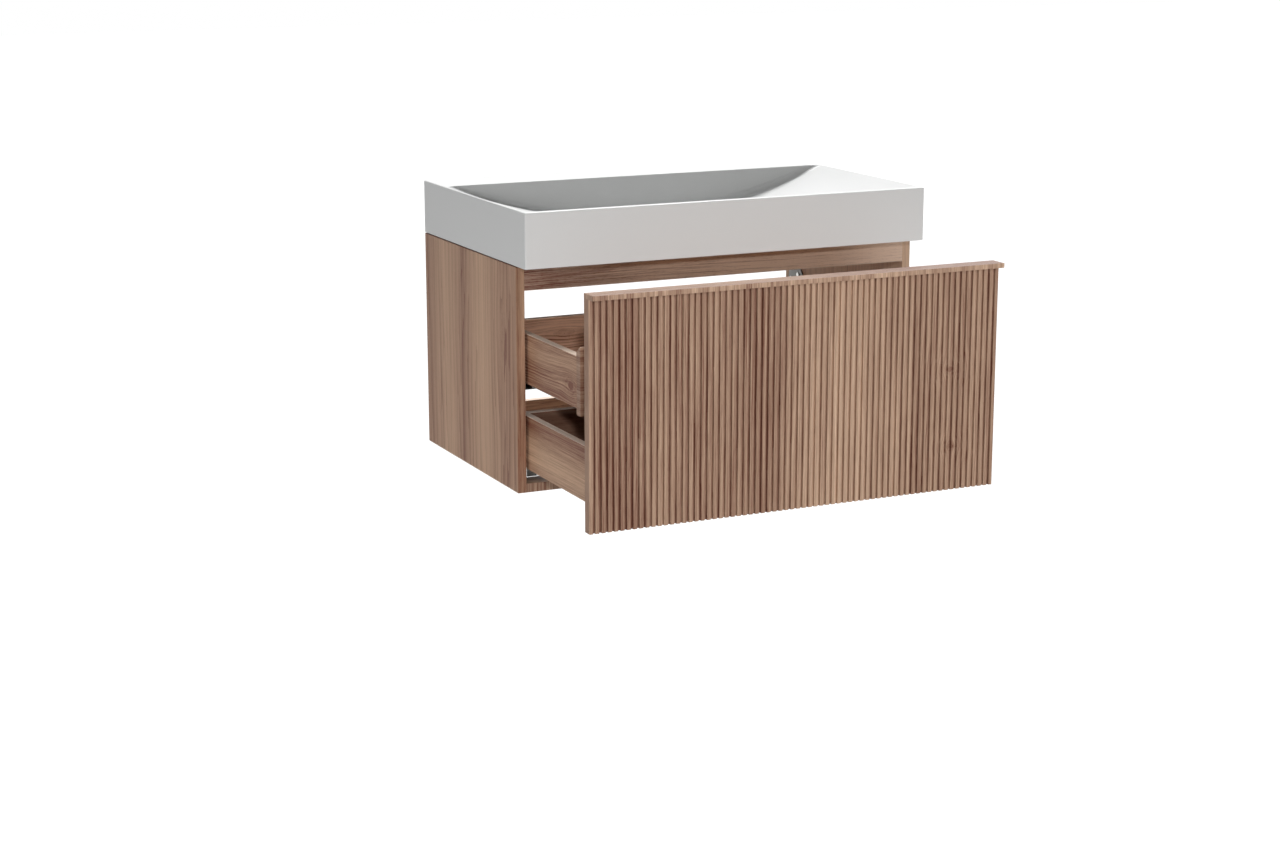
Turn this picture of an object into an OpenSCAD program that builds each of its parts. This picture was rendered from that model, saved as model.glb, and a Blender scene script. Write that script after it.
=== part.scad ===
// Wall-hung bathroom vanity: a solid-surface basin on a veneered cabinet with a
// fluted full-height drawer front and a low inner drawer behind it.
// Frame: x = 0 on the middle, y = 0 on the wall with the front towards -y,
// z = 0 at the middle of the four wall fixing holes. Both drawers stand open.

/* [Basin] */
// Width of the basin
basin_w = 800; // [740:10:1000]
// Depth of the basin, front to wall
basin_d = 496; // [480:2:540]
// Height of the basin
basin_h = 98; // [94:1:120]
// Depth of the bowl on its lowest line
bowl_drop = 78; // [66:1:80]
// Flat deck behind the bowl
deck_d = 106; // [90:1:130]
// Rim in front of the bowl
front_rim = 12; // [10:1:20]
// Rim at each side of the bowl
side_rim = 4; // [3:0.5:12]
// Radius where the bowl's walls meet its floor
bowl_r = 12; // [8:1:20]
// Thickness of the cast shell round the bowl
shell_t = 12; // [10:0.5:14]
// Thickness of the skirt that stands on the cabinet
skirt_t = 16; // [14:1:24]
// Rounding of the basin's top edges
edge_r = 2; // [1:0.5:3]
// Rounding of the basin's upright corners
corner_r = 3; // [1:0.5:5]

/* [Waste] */
// Hole through the basin for the waste
waste_hole = 46; // [45:0.5:50]
// Flange of the waste
waste_flange = 64; // [58:1:70]
// Thickness of the flange
waste_flange_t = 3; // [2:0.5:4]
// Outside of the waste's body in the basin's hole
waste_body_d = 44.4; // [44:0.1:44.6]
// Length of that body below the flange
waste_body_len = 36; // [34:1:40]
// Outside of the tail that the trap joins
waste_tail = 41.9; // [38:0.1:43]
// Length of that tail
waste_tail_len = 42; // [30:1:50]
// Bore of the waste
waste_bore = 37.4; // [34:0.1:37.6]
// Stem of the plug
stem_d = 7; // [6:0.5:9]
// Thickness of the plug's cap
plug_t = 4; // [3:0.5:6]
// Running clearance round the stem
stem_play = 0.08; // [0.05:0.01:0.1]

/* [Cabinet] */
// Thickness of the cabinet's boards
board_t = 16; // [15:0.5:19]
// Height of the cabinet
cab_h = 406; // [400:2:460]
// How far each cabinet side stands in from the basin's side
cab_inset = 0.8; // [0.5:0.1:3]
// How far the cabinet stands back from the basin's front
cab_setback = 45; // [42:1:60]
// Height of the front rail
front_rail_h = 43; // [38:1:60]
// Height of the upper back rail
back_rail_h = 98; // [80:1:100]
// Height of the lower back rail
low_rail_h = 47.5; // [40:0.5:56]
// Thickness of the adhesive bead under the basin
bead_t = 2; // [1:0.25:3]
// Width of the adhesive bead
bead_w = 6; // [4:0.5:8]
// From the cabinet's top edge down to the middle of the wall fixings
hang_drop = 196; // [194:1:202]
// Dowels in the cabinet
dowel_d = 8; // [6:1:8]
// Length of those dowels
dowel_len = 30; // [26:1:36]

/* [Fluted front] */
// How far the front stands in from the basin's side
front_inset = 3.7; // [3:0.1:6]
// Thickness of the fluted board
front_t = 19; // [17:0.5:22]
// Gap between the basin's underside and the lip
lip_gap = 2.8; // [2:0.1:6]
// Thickness of the lip
lip_t = 8.4; // [6:0.1:12]
// How far the lip stands out from the fluted face
lip_out = 17.7; // [12:0.1:20]
// Number of flutes
flute_n = 68; // [40:1:72]
// Width of a flute
flute_w = 4.4; // [3:0.1:5]
// Depth of a flute
flute_deep = 5; // [3:0.25:6]
// Flat left at each end of the row of flutes
flute_end = 6.5; // [5:0.1:9]
// Gap between the closed front and the cabinet
front_gap = 2; // [1.5:0.1:3]

/* [Drawer boxes] */
// Thickness of the drawers' sides and backs
box_t = 13; // [12:0.5:16]
// Gap between a drawer's side and the cabinet's side
box_gap = 5; // [4.5:0.1:7]
// Thickness of the drawers' floors
floor_t = 8; // [6:0.5:10]
// How far a floor stands above the lower edge of its sides
floor_lift = 13; // [13:0.5:15]
// How deep a floor goes into its sides
floor_groove = 5; // [4:0.5:6]
// Dowels in the drawers
pin_d = 6; // [5:0.5:6]
// Length of those dowels
pin_len = 24; // [20:1:26]

/* [Lower drawer] */
// How far the lower drawer stands open
low_open = 282; // [240:1:300]
// Length of the lower drawer's sides
low_depth = 325; // [310:1:345]
// Height of the lower drawer's sides
low_h = 97; // [80:1:100]
// Lower edge of its sides above the cabinet's floor
low_lift = 25; // [22:1:30]

/* [Inner drawer] */
// How far the inner drawer stands open
inner_open = 228; // [190:1:235]
// Length of the inner drawer's sides
inner_depth = 355; // [345:1:365]
// Height of the inner drawer's sides
inner_h = 90; // [70:1:90]
// Lower edge of its sides above the cabinet's floor
inner_lift = 180; // [172:1:184]
// How far the closed inner front stands back in the cabinet
inner_setback = 1; // [0.5:0.5:6]
// Thickness of the inner front
inner_front_t = 16; // [15:0.5:18]
// Height of the inner front
inner_front_h = 119; // [112:1:122]
// How far the inner front reaches below the sides
inner_front_drop = 12; // [11:0.5:12.5]
// How far its top edge falls away towards the back, as a finger grip
grip_fall = 11.4; // [8:0.1:13]
// Flat left on the top edge
grip_flat = 2; // [1.5:0.5:4]
// Inside width of the recess for the trap
recess_w = 220; // [160:5:260]
// Storage left between the inner front and the recess
recess_front = 62; // [50:1:70]
// Walls of the recess
recess_t = 12; // [10:0.5:14]

/* [Slides] */
// Sheet of the slides
rail_s = 1.4; // [1.2:0.1:1.6]
// Width of a slide's channel
rail_w = 22.5; // [20:0.5:26]
// From the sides' lower edge down to the underside of the fixed runner
rail_drop = 13.6; // [13.4:0.1:15]
// Height of the channels' walls
rail_wall = 10; // [8:0.5:10.5]
// Height of the runners' screw flange
flange_h = 18; // [17:0.5:19]
// Length of the lower drawer's fixed runners
low_runner_len = 333; // [325:1:345]
// Length of the inner drawer's fixed runners
inner_runner_len = 350; // [345:1:355]
// Running gap round the bearing blocks
glide_play = 0.25; // [0.2:0.05:0.4]
// Sideways room between a channel and the middle member
glide_t = 2.3; // [2:0.1:3]
// Upright room between the members
rail_gap = 1.2; // [0.8:0.1:1.4]

/* [Hangers] */
// From a cabinet side's inner face to the middle of its wall fixings
fix_in = 33.2; // [31:0.1:45]
// Distance between the upper and lower wall fixing holes
fix_h = 32; // [28:1:34]
// Wall fixing holes
fix_d = 6.5; // [5:0.5:8]
// Width of a wall plate
plate_w = 56; // [54:1:60]
// Height of a wall plate up to its lip
plate_h = 53; // [52:1:56]
// Sheet of the wall plates
plate_s = 2; // [1.5:0.25:2.5]
// How far a wall plate's lip stands off the wall
lip_off = 9; // [8.5:0.25:10]
// Height of that lip
lip_h = 14; // [12:1:16]
// Thickness of a hanger's plate on the cabinet's side
hanger_plate_t = 3; // [2.5:0.25:3.5]
// Depth of the housing on that plate
hanger_t = 17; // [16:0.5:20]
// Sheet of the housing
hanger_s = 1.5; // [1.2:0.1:2]
// Thickness of the hook
hook_t = 5; // [4:0.5:6]
// Height of the hook's arm
hook_h = 9; // [8:0.5:10]

/* [Hidden] */
$fn = 48;

// Colours
WOOD = [0.62, 0.49, 0.41];
WOOD_DARK = [0.50, 0.37, 0.30];
WHITE = [0.93, 0.93, 0.92];
STEEL = [0.68, 0.69, 0.70];
CHROME = [0.80, 0.81, 0.83];
NYLON = [0.80, 0.80, 0.78];
RUBBER = [0.15, 0.15, 0.15];
CLEAR = [0.88, 0.88, 0.86];
BEECH = [0.80, 0.66, 0.48];

// Clearance of a dowel or screw in its hole, of a floor in its groove, and of a
// buffer from the closed front
FIT = 0.05;
GROOVE_PLAY = 0.1;
BUFFER_PLAY = 0.2;
CUT = 1;

// Places of the cabinet and the basin
x_out = basin_w / 2 - cab_inset;
x_in = x_out - board_t;
y_cab = -(basin_d - cab_setback);
z_cab_top = hang_drop;
z_basin = z_cab_top + bead_t;
z_cab_bot = z_cab_top - cab_h;
z_floor = z_cab_bot + board_t;

// Bowl: a round cut whose axis lies along y, high above the basin
bowl_half = basin_w / 2 - side_rim;
bowl_rad = (bowl_half * bowl_half + bowl_drop * bowl_drop) / (2 * bowl_drop);
bowl_len = basin_d - deck_d - front_rim;
z_bowl = z_basin + basin_h - bowl_drop;
z_axis = z_bowl + bowl_rad;
y_bowl = -(deck_d + bowl_len);
bowl_facets = 720;
hollow_gap = 3;

// Waste
y_waste = -(deck_d + bowl_len / 2);
seat_z = z_bowl - waste_flange_t;
waste_len = waste_body_len + waste_tail_len;
seat_play = 0.5;
seal_t = 2;
nut_t = 9;
nut_af = 56;
ring_play = 0.1;
spider_t = 3;
spider_h = 6;
spider_drop = 12;
spider_root = 1;
hub_wall = 2.5;
hub_d = stem_d + 2 * hub_wall;
stem_len = 36;
plug_edge = 1.2;

// Dowels and screws in the cabinet
dowel_cover = 4;
dowel_in_side = board_t - dowel_cover;
dowel_end = 50;
dowel_edge = 12;
cab_d = basin_d - cab_setback;
floor_dowel_y = [dowel_end, cab_d / 2, cab_d - dowel_end];
rail_dowel_z = [dowel_edge, front_rail_h - dowel_edge];
back_dowel_z = [2 * dowel_edge, back_rail_h - 2 * dowel_edge];
low_dowel_z = [dowel_edge, low_rail_h - dowel_edge];
screw_d = 5.8;
screw_head_d = 9;
screw_head_t = 1.8;
screw_deep = 11;
runner_screw_end = 37;
runner_screw_step = 128;
runner_screw_y = [for (i = [0 : 2]) runner_screw_end + i * runner_screw_step];
runner_screw_v = 9.5;

// Buffers on the back of the fluted front, over the cabinet sides' edges
buffer_d = 8;
buffer_end = 50;
buffer_z = [z_cab_bot + buffer_end, z_cab_top - buffer_end];

// Lower drawer: back face of the fluted front, and lower edge of the sides
y_low = y_cab - front_gap - low_open;
z_low = z_floor + low_lift;
front_w = basin_w - 2 * front_inset;
z_lip_top = z_basin - lip_gap;
z_lip = z_lip_top - lip_t;
flute_pitch = (front_w - 2 * flute_end - flute_w) / (flute_n - 1);

// Inner drawer: back face of its front, and lower edge of the sides
y_inner = y_cab + inner_setback + inner_front_t - inner_open;
z_inner = z_floor + inner_lift;
x_box = x_in - box_gap;
x_box_in = x_box - box_t;
y_recess = y_inner + recess_front;

// Drawer dowels, measured from each end of a side
pin_in_side = 8;
pin_in_front = 10;
pin_edge = 12;

// Slides: across from the cabinet's side (u) and up from the drawer side's edge (v)
channel_u = box_gap + box_t + 2.5;
mid_u = channel_u + rail_s + glide_t;
mid_w = rail_w - 2 * rail_s - 2 * glide_t;
base_v = -rail_drop;
mid_v0 = base_v + rail_s + rail_gap;
mid_v1 = floor_lift - rail_s - rail_gap;
web_v = (mid_v0 + mid_v1 - rail_s) / 2;
block_len = 30;
block_in = 1;
rail_end = 4;
runner_start = 2;
mid_start = 3;
clip_len = 42;
clip_w = 15;
clip_h = 9;
tab_t = 4;
tab_len = 14;
tab_in = 4;
mid_short = 12;

// Hangers: y runs to the wall, so the housing's front is at hang_front
hang_y = 18;
hang_w = 56;
hang_front = -hang_y - hang_w;
hang_top = z_cab_top - back_rail_h - 3;
hang_h = 66;
hang_slope = [20, 25];
x_fix = x_in - fix_in;
plate_top = plate_h / 2;
hook_z = plate_top + lip_h;
hook_u = 6.5;
hook_tooth = 3.6;
tooth_len = 12;
hook_back = 2.6;
hook_front = 16;
heel_w = 5;
housing_top = hook_z + hook_h + hanger_s;
adjuster_d = 6;
adjuster_head = 9;
adjuster_head_t = 2.5;
adjuster_drop = 5.5;
adjuster_z = [hook_z + hook_h / 2, hook_z - adjuster_drop];
hanger_screw_in = [[17.5, 26.5], [44, 9], [47, 38]];
hanger_screw_at = [for (p = hanger_screw_in) [hang_front + p[0], hang_top - p[1]]];
spare_hole_in = [2.5, 16.5];
spare_hole_at = [hang_front + spare_hole_in[0], hang_top - spare_hole_in[1]];
spare_hole_d = 7;

// ---- Helpers -------------------------------------------------------------

// A block given by two opposite corners
module block(a, b) {
  translate(a) cube([b[0] - a[0], b[1] - a[1], b[2] - a[2]]);
}

// Carries an x-z outline along y from y0 to y1
module along_y(y0, y1) {
  translate([0, y1, 0]) rotate([90, 0, 0]) linear_extrude(y1 - y0) children();
}

// Carries a y-z outline along x from x0 to x1
module along_x(x0, x1) {
  translate([x0, 0, 0]) rotate([90, 0, 90]) linear_extrude(x1 - x0) children();
}

// A rod along x or y from a point
module rod_x(at, d, len) {
  translate(at) rotate([0, 90, 0]) cylinder(d = d, h = len);
}
module rod_y(at, d, len) {
  translate(at) rotate([-90, 0, 0]) cylinder(d = d, h = len);
}

// The right-hand twin of a left-hand piece
module twin() {
  mirror([1, 0, 0]) children();
}

// Both the left-hand piece and its twin
module pair() {
  children();
  twin() children();
}

// A rectangle centred on x with all four corners rounded
module round_rect(w, d, r) {
  translate([-w / 2 + r, -d]) square([w - 2 * r, d]);
  translate([-w / 2, -d + r]) square([w, d - 2 * r]);
  for (x = [-w / 2 + r, w / 2 - r], y = [-d + r, -r]) translate([x, y]) circle(r = r);
}

// A rectangle from x0 to x1 standing on y = 0 with its upper corners rounded
module crown_rect(x0, x1, h, r) {
  translate([x0, 0]) square([x1 - x0, h - r]);
  translate([x0 + r, 0]) square([x1 - x0 - 2 * r, h]);
  for (x = [x0 + r, x1 - r]) translate([x, h - r]) circle(r = r);
}

// ---- Basin ---------------------------------------------------------------

// The round body of the bowl: radius r about the bowl's axis, from y0 over len,
// with its outer edges rounded by e
module bowl_body(r, y0, len, e) {
  translate([0, y0, z_axis]) rotate([-90, 0, 0]) rotate_extrude($fn = bowl_facets) {
    square([r - e, len]);
    translate([0, e]) square([r, len - 2 * e]);
    for (y = [e, len - e]) translate([r - e, y]) circle(r = e, $fn = 32);
  }
}

module basin_block() {
  intersection() {
    translate([0, 0, z_basin]) linear_extrude(basin_h) round_rect(basin_w, basin_d, corner_r);
    along_y(-basin_d, 0) translate([0, z_basin]) crown_rect(-basin_w / 2, basin_w / 2, basin_h, edge_r);
    along_x(-basin_w / 2, basin_w / 2) translate([0, z_basin]) crown_rect(-basin_d, 0, basin_h, edge_r);
  }
}

// The hollow under the bowl and the deck, open at the underside
module basin_hollow() {
  front = y_cab + board_t + hollow_gap;
  difference() {
    block([-basin_w / 2 + skirt_t, front, z_basin - CUT],
          [basin_w / 2 - skirt_t, -skirt_t, z_basin + basin_h - shell_t]);
    bowl_body(bowl_rad + shell_t, y_bowl - shell_t, bowl_len + 2 * shell_t, bowl_r + shell_t);
  }
}

module basin() {
  color(WHITE) difference() {
    basin_block();
    bowl_body(bowl_rad, y_bowl, bowl_len, bowl_r);
    basin_hollow();
    translate([0, y_waste, z_basin - CUT]) cylinder(d = waste_hole, h = basin_h, $fn = 64);
    translate([0, y_waste, seat_z]) cylinder(d = waste_flange + 2 * seat_play, h = basin_h, $fn = 64);
  }
}

// The adhesive bead on the cabinet's top edges
module basin_bead() {
  in_side = (board_t - bead_w) / 2;
  x1 = x_out - in_side;
  y0 = y_cab + in_side;
  y1 = -in_side;
  color(CLEAR) difference() {
    block([-x1, y0, z_cab_top], [x1, y1, z_basin]);
    block([-x1 + bead_w, y0 + bead_w, z_cab_top - CUT], [x1 - bead_w, y1 - bead_w, z_basin + CUT]);
  }
}

// ---- Waste ---------------------------------------------------------------

module waste_body() {
  color(CHROME) translate([0, y_waste, seat_z]) {
    difference() {
      union() {
        cylinder(d = waste_flange, h = waste_flange_t, $fn = 64);
        translate([0, 0, -waste_body_len])
          cylinder(d = waste_body_d, h = waste_body_len + CUT, $fn = 64);
        translate([0, 0, -waste_len]) cylinder(d = waste_tail, h = waste_len, $fn = 64);
      }
      translate([0, 0, -waste_len - CUT])
        cylinder(d = waste_bore, h = waste_len + waste_flange_t + 2 * CUT, $fn = 64);
    }
    translate([0, 0, -spider_drop - spider_h]) difference() {
      union() {
        cylinder(d = hub_d, h = spider_h);
        for (a = [90, 210, 330]) rotate([0, 0, a]) translate([0, -spider_t / 2, 0])
          cube([waste_bore / 2 + spider_root, spider_t, spider_h]);
      }
      translate([0, 0, -CUT]) cylinder(d = stem_d + 2 * stem_play, h = spider_h + 2 * CUT);
    }
  }
}

// The rubber ring under the basin's floor
module waste_seal() {
  color(RUBBER) translate([0, y_waste, z_bowl - shell_t - seal_t]) difference() {
    cylinder(d = waste_flange, h = seal_t, $fn = 64);
    translate([0, 0, -CUT]) cylinder(d = waste_body_d + 2 * ring_play, h = seal_t + 2 * CUT, $fn = 64);
  }
}

module waste_nut() {
  color(CHROME) translate([0, y_waste, z_bowl - shell_t - seal_t - nut_t]) difference() {
    cylinder(d = nut_af / cos(30), h = nut_t, $fn = 6);
    translate([0, 0, -CUT]) cylinder(d = waste_body_d + 2 * ring_play, h = nut_t + 2 * CUT, $fn = 64);
  }
}

// The plug: a domed cap on a stem that runs in the hub
module waste_plug() {
  cap = waste_flange - 4;
  color(CHROME) translate([0, y_waste, z_bowl]) {
    rotate_extrude($fn = 96) {
      square([cap / 2 - plug_edge, plug_t]);
      square([cap / 2, plug_t - plug_edge]);
      translate([cap / 2 - plug_edge, plug_t - plug_edge]) circle(r = plug_edge, $fn = 32);
    }
    translate([0, 0, -stem_len]) cylinder(d = stem_d, h = stem_len + CUT);
  }
}

// ---- Cabinet -------------------------------------------------------------

// Every dowel of the left side, as rods along x grown by grow; from is where a
// rod starts and len how far it runs
module side_dowels(from, len, grow) {
  d = dowel_d + grow;
  for (y = floor_dowel_y) rod_x([from, -y, z_cab_bot + board_t / 2], d, len);
  for (z = rail_dowel_z) rod_x([from, y_cab + board_t / 2, z_cab_top - z], d, len);
  for (z = back_dowel_z) rod_x([from, -board_t / 2, z_cab_top - z], d, len);
  for (z = low_dowel_z) rod_x([from, -board_t / 2, z_floor + z], d, len);
}

// The blind dowel holes that a board of the cabinet needs at both ends
module end_dowel_holes() {
  pair() side_dowels(-x_in - CUT, dowel_len - dowel_in_side + CUT + 1, 2 * FIT);
}

// Places of the screws that hold the two left runners, as [y, z]
function runner_screws_at() = concat(
  [for (y = runner_screw_y) [y_cab + runner_start + y, z_low + base_v + runner_screw_v]],
  [for (y = runner_screw_y) [y_inner_runner() + y, z_inner + base_v + runner_screw_v]]);

// Front end of the inner drawer's fixed runners, clear of the closed inner front
function y_inner_runner() = y_cab + inner_setback + inner_front_t + runner_start;

module side_panel() {
  difference() {
    block([-x_out, y_cab, z_cab_bot], [-x_in, 0, z_cab_top]);
    side_dowels(-x_in - dowel_in_side, dowel_in_side + CUT, 2 * FIT);
    for (p = runner_screws_at())
      rod_x([-x_in - screw_deep, p[0], p[1]], screw_d + 2 * FIT, screw_deep + CUT);
    for (p = hanger_screw_at)
      rod_x([-x_in - screw_deep, p[0], p[1]], screw_d + 2 * FIT, screw_deep + CUT);
    rod_x([-x_in - screw_deep, spare_hole_at[0], spare_hole_at[1]], spare_hole_d, screw_deep + CUT);
  }
}

module side_left() { color(WOOD) side_panel(); }
module side_right() { color(WOOD) twin() side_panel(); }

module cabinet_floor() {
  color(WOOD) difference() {
    block([-x_in, y_cab, z_cab_bot], [x_in, 0, z_floor]);
    end_dowel_holes();
  }
}

module front_rail() {
  color(WOOD_DARK) difference() {
    block([-x_in, y_cab, z_cab_top - front_rail_h], [x_in, y_cab + board_t, z_cab_top]);
    end_dowel_holes();
  }
}

module back_rail_upper() {
  color(WOOD_DARK) difference() {
    block([-x_in, -board_t, z_cab_top - back_rail_h], [x_in, 0, z_cab_top]);
    end_dowel_holes();
  }
}

module back_rail_lower() {
  color(WOOD_DARK) difference() {
    block([-x_in, -board_t, z_floor], [x_in, 0, z_floor + low_rail_h]);
    end_dowel_holes();
  }
}

module cabinet_dowels() {
  color(BEECH) pair() side_dowels(-x_in - dowel_in_side, dowel_len, 0);
}

// ---- Hangers -------------------------------------------------------------

// Outline of a hanger's plate in y-z, with its upper front corner cut away
module hanger_outline() {
  polygon([
    [-hang_y, hang_top - hang_h], [-hang_y, hang_top],
    [hang_front + hang_slope[0], hang_top], [hang_front, hang_top - hang_slope[1]],
    [hang_front, hang_top - hang_h]
  ]);
}

// A plate on the cabinet's side with a pressed housing, open to the wall, that
// rests on the hook
module hanger_body() {
  z0 = hang_top - hang_h;
  difference() {
    union() {
      along_x(-x_in, -x_in + hanger_plate_t) hanger_outline();
      block([-x_in, hang_front, z0], [-x_in + hanger_t, -hang_y, housing_top]);
    }
    block([-x_in + hanger_plate_t, hang_front + hanger_s, z0 + hanger_s],
          [-x_in + hanger_t - hanger_s, -hang_y + CUT, housing_top - hanger_s]);
    for (p = hanger_screw_at)
      rod_x([-x_in - CUT, p[0], p[1]], screw_d + 2 * FIT, hanger_plate_t + 2 * CUT);
    for (z = adjuster_z)
      rod_y([hook_mid_x(), hang_front - CUT, z], adjuster_d + 0.2, hanger_s + 2 * CUT);
  }
}

function hook_mid_x() = -x_in + hook_u + hook_t / 2;

module hanger_left() { color(STEEL) hanger_body(); }
module hanger_right() { color(STEEL) twin() hanger_body(); }

// The hook: an arm over the wall plate's lip, a tooth behind it and a heel that
// the two adjusting screws bear on
module hanger_hook() {
  y0 = hang_front + hook_front;
  z0 = hang_top - hang_h + hanger_s;
  along_x(-x_in + hook_u, -x_in + hook_u + hook_t) {
    translate([y0, hook_z]) square([-hook_back - y0, hook_h]);
    translate([-hook_back - hook_tooth, hook_z - tooth_len]) square([hook_tooth, tooth_len + CUT]);
    translate([y0, z0]) square([heel_w, hook_z - z0 + CUT]);
  }
}

module hanger_hook_left() { color(STEEL) hanger_hook(); }
module hanger_hook_right() { color(STEEL) twin() hanger_hook(); }

// A wall plate: a screwed foot, a step off the wall and a lip for the hook
module wall_plate() {
  x0 = -x_fix - plate_w / 2;
  difference() {
    along_x(x0, x0 + plate_w) {
      translate([-plate_s, -plate_h / 2]) square([plate_s, plate_h]);
      translate([-lip_off, plate_top - plate_s]) square([lip_off, plate_s]);
      translate([-lip_off, plate_top - plate_s]) square([plate_s, lip_h + plate_s]);
    }
    for (z = [-fix_h / 2, fix_h / 2]) rod_y([-x_fix, -lip_off - CUT, z], fix_d, lip_off + 2 * CUT);
  }
}

module wall_plate_left() { color(STEEL) wall_plate(); }
module wall_plate_right() { color(STEEL) twin() wall_plate(); }

// Screws into the cabinet's sides: a low head and a shank
module side_screw(y, z, head_x) {
  rod_x([head_x, y, z], screw_head_d, screw_head_t);
  rod_x([-x_in - screw_deep + 1, y, z], screw_d, head_x + x_in + screw_deep - 1 + screw_head_t / 2);
}

module hanger_screws() {
  color(STEEL) pair() for (p = hanger_screw_at) side_screw(p[0], p[1], -x_in + hanger_plate_t);
}

module hanger_adjusters() {
  color(STEEL) pair() for (z = adjuster_z) {
    rod_y([hook_mid_x(), hang_front - adjuster_head_t, z], adjuster_head, adjuster_head_t);
    rod_y([hook_mid_x(), hang_front - CUT, z], adjuster_d, hook_front + CUT);
  }
}

// ---- Slides --------------------------------------------------------------

// Fixed runner: screw flange, base under the drawer's side, and a channel
module runner_outline() {
  translate([0, base_v]) square([rail_s, flange_h]);
  translate([0, base_v]) square([channel_u + rail_w, rail_s]);
  for (u = [channel_u, channel_u + rail_w - rail_s])
    translate([u, base_v]) square([rail_s, rail_wall]);
}

// Middle member: two uprights joined by a web
module middle_outline() {
  for (u = [mid_u, mid_u + mid_w - rail_s])
    translate([u, mid_v0]) square([rail_s, mid_v1 - mid_v0]);
  translate([mid_u, web_v]) square([mid_w, rail_s]);
}

// Drawer rail: a channel upside down under the drawer's floor
module rail_outline() {
  translate([channel_u, floor_lift - rail_s]) square([rail_w, rail_s]);
  for (u = [channel_u, channel_u + rail_w - rail_s])
    translate([u, floor_lift - rail_wall]) square([rail_s, rail_wall]);
}

module runner(y0, len, z, first_screw) {
  difference() {
    translate([-x_in, 0, z]) along_y(y0, y0 + len) runner_outline();
    for (i = [0 : len(runner_screw_y) - 1]) {
      p = runner_screws_at()[first_screw + i];
      rod_x([-x_in - CUT, p[0], p[1]], screw_d + 2 * FIT, rail_s + 2 * CUT);
    }
  }
}

module lower_runner() { runner(y_cab + runner_start, low_runner_len, z_low, 0); }
module inner_runner() { runner(y_inner_runner(), inner_runner_len, z_inner, len(runner_screw_y)); }

module lower_runner_left() { color(STEEL) lower_runner(); }
module lower_runner_right() { color(STEEL) twin() lower_runner(); }
module inner_runner_left() { color(STEEL) inner_runner(); }
module inner_runner_right() { color(STEEL) twin() inner_runner(); }

module runner_screws() {
  color(STEEL) pair() for (p = runner_screws_at()) side_screw(p[0], p[1], -x_in + rail_s);
}

// Inside of the lower or upper channel, drawn in by e at the sides and the back
module lower_channel_space(e) {
  translate([channel_u + rail_s + e, base_v + rail_s + e])
    square([rail_w - 2 * rail_s - 2 * e, rail_wall - rail_s - block_in - e]);
}
module upper_channel_space(e) {
  translate([channel_u + rail_s + e, floor_lift - rail_wall + block_in])
    square([rail_w - 2 * rail_s - 2 * e, rail_wall - rail_s - block_in - e]);
}

// Room that a middle member takes in a block, with e to spare
module upright_space(e) {
  for (u = [mid_u, mid_u + mid_w - rail_s])
    translate([u - e, mid_v0 - e]) square([rail_s + 2 * e, mid_v1 - mid_v0 + 2 * e]);
}

// A block fixed in a channel, for a middle member to run through
module fixed_block(y0, z, upper) {
  translate([-x_in, 0, z]) along_y(y0, y0 + block_len) difference() {
    if (upper) upper_channel_space(0);
    else lower_channel_space(0);
    upright_space(glide_play);
  }
}

// A block fixed on a middle member, to run in a channel
module riding_block(y0, z, upper) {
  translate([-x_in, 0, z]) along_y(y0, y0 + block_len) difference() {
    if (upper) upper_channel_space(glide_play);
    else lower_channel_space(glide_play);
    upright_space(0);
  }
}

// Middle members run half as far as their drawers
low_mid = [y_cab + runner_start + mid_start - low_open / 2, low_depth - mid_short];
inner_mid = [y_inner_runner() + mid_start - inner_open / 2, inner_depth - 2 * mid_short];

module middle(m, z) { translate([-x_in, 0, z]) along_y(m[0], m[0] + m[1]) middle_outline(); }

module lower_middle_left() { color(STEEL) middle(low_mid, z_low); }
module lower_middle_right() { color(STEEL) twin() middle(low_mid, z_low); }
module inner_middle_left() { color(STEEL) middle(inner_mid, z_inner); }
module inner_middle_right() { color(STEEL) twin() middle(inner_mid, z_inner); }

// Blocks at the front of the fixed runners
module runner_blocks() {
  color(NYLON) pair() {
    fixed_block(y_cab + runner_start + 1, z_low, false);
    fixed_block(y_inner_runner() + 1, z_inner, false);
  }
}

// Blocks at a middle member's rear end below and at its front end above
module middle_blocks(m, z) {
  riding_block(m[0] + m[1] - block_len - 1, z, false);
  riding_block(m[0] + 1, z, true);
}

module lower_middle_blocks() { color(NYLON) pair() middle_blocks(low_mid, z_low); }
module inner_middle_blocks() { color(NYLON) pair() middle_blocks(inner_mid, z_inner); }

module drawer_rail(y0, depth, z) {
  translate([-x_in, 0, z]) along_y(y0 + rail_end, y0 + depth - rail_end) rail_outline();
}

module lower_rail_left() { color(STEEL) drawer_rail(y_low, low_depth, z_low); }
module lower_rail_right() { color(STEEL) twin() drawer_rail(y_low, low_depth, z_low); }
module inner_rail_left() { color(STEEL) drawer_rail(y_inner, inner_depth, z_inner); }
module inner_rail_right() { color(STEEL) twin() drawer_rail(y_inner, inner_depth, z_inner); }

// Blocks at the rear of the drawers' rails
module rail_block(y0, depth, z) { fixed_block(y0 + depth - rail_end - block_len - 1, z, true); }

module lower_rail_blocks() { color(NYLON) pair() rail_block(y_low, low_depth, z_low); }
module inner_rail_blocks() { color(NYLON) pair() rail_block(y_inner, inner_depth, z_inner); }

// Catches that lock a drawer's floor to its rails, with a thumb tab
module clip(y0, z) {
  u = channel_u + rail_w;
  translate([-x_in + u, y0 + rail_end, z + floor_lift - clip_h]) {
    cube([clip_w, clip_len, clip_h]);
    translate([clip_w - tab_t, tab_in, -tab_t]) cube([tab_t, tab_len, tab_t + CUT]);
  }
}

module lower_clips() { color(NYLON) pair() clip(y_low, z_low); }
module inner_clips() { color(NYLON) pair() clip(y_inner, z_inner); }

// ---- Drawer boxes --------------------------------------------------------

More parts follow.
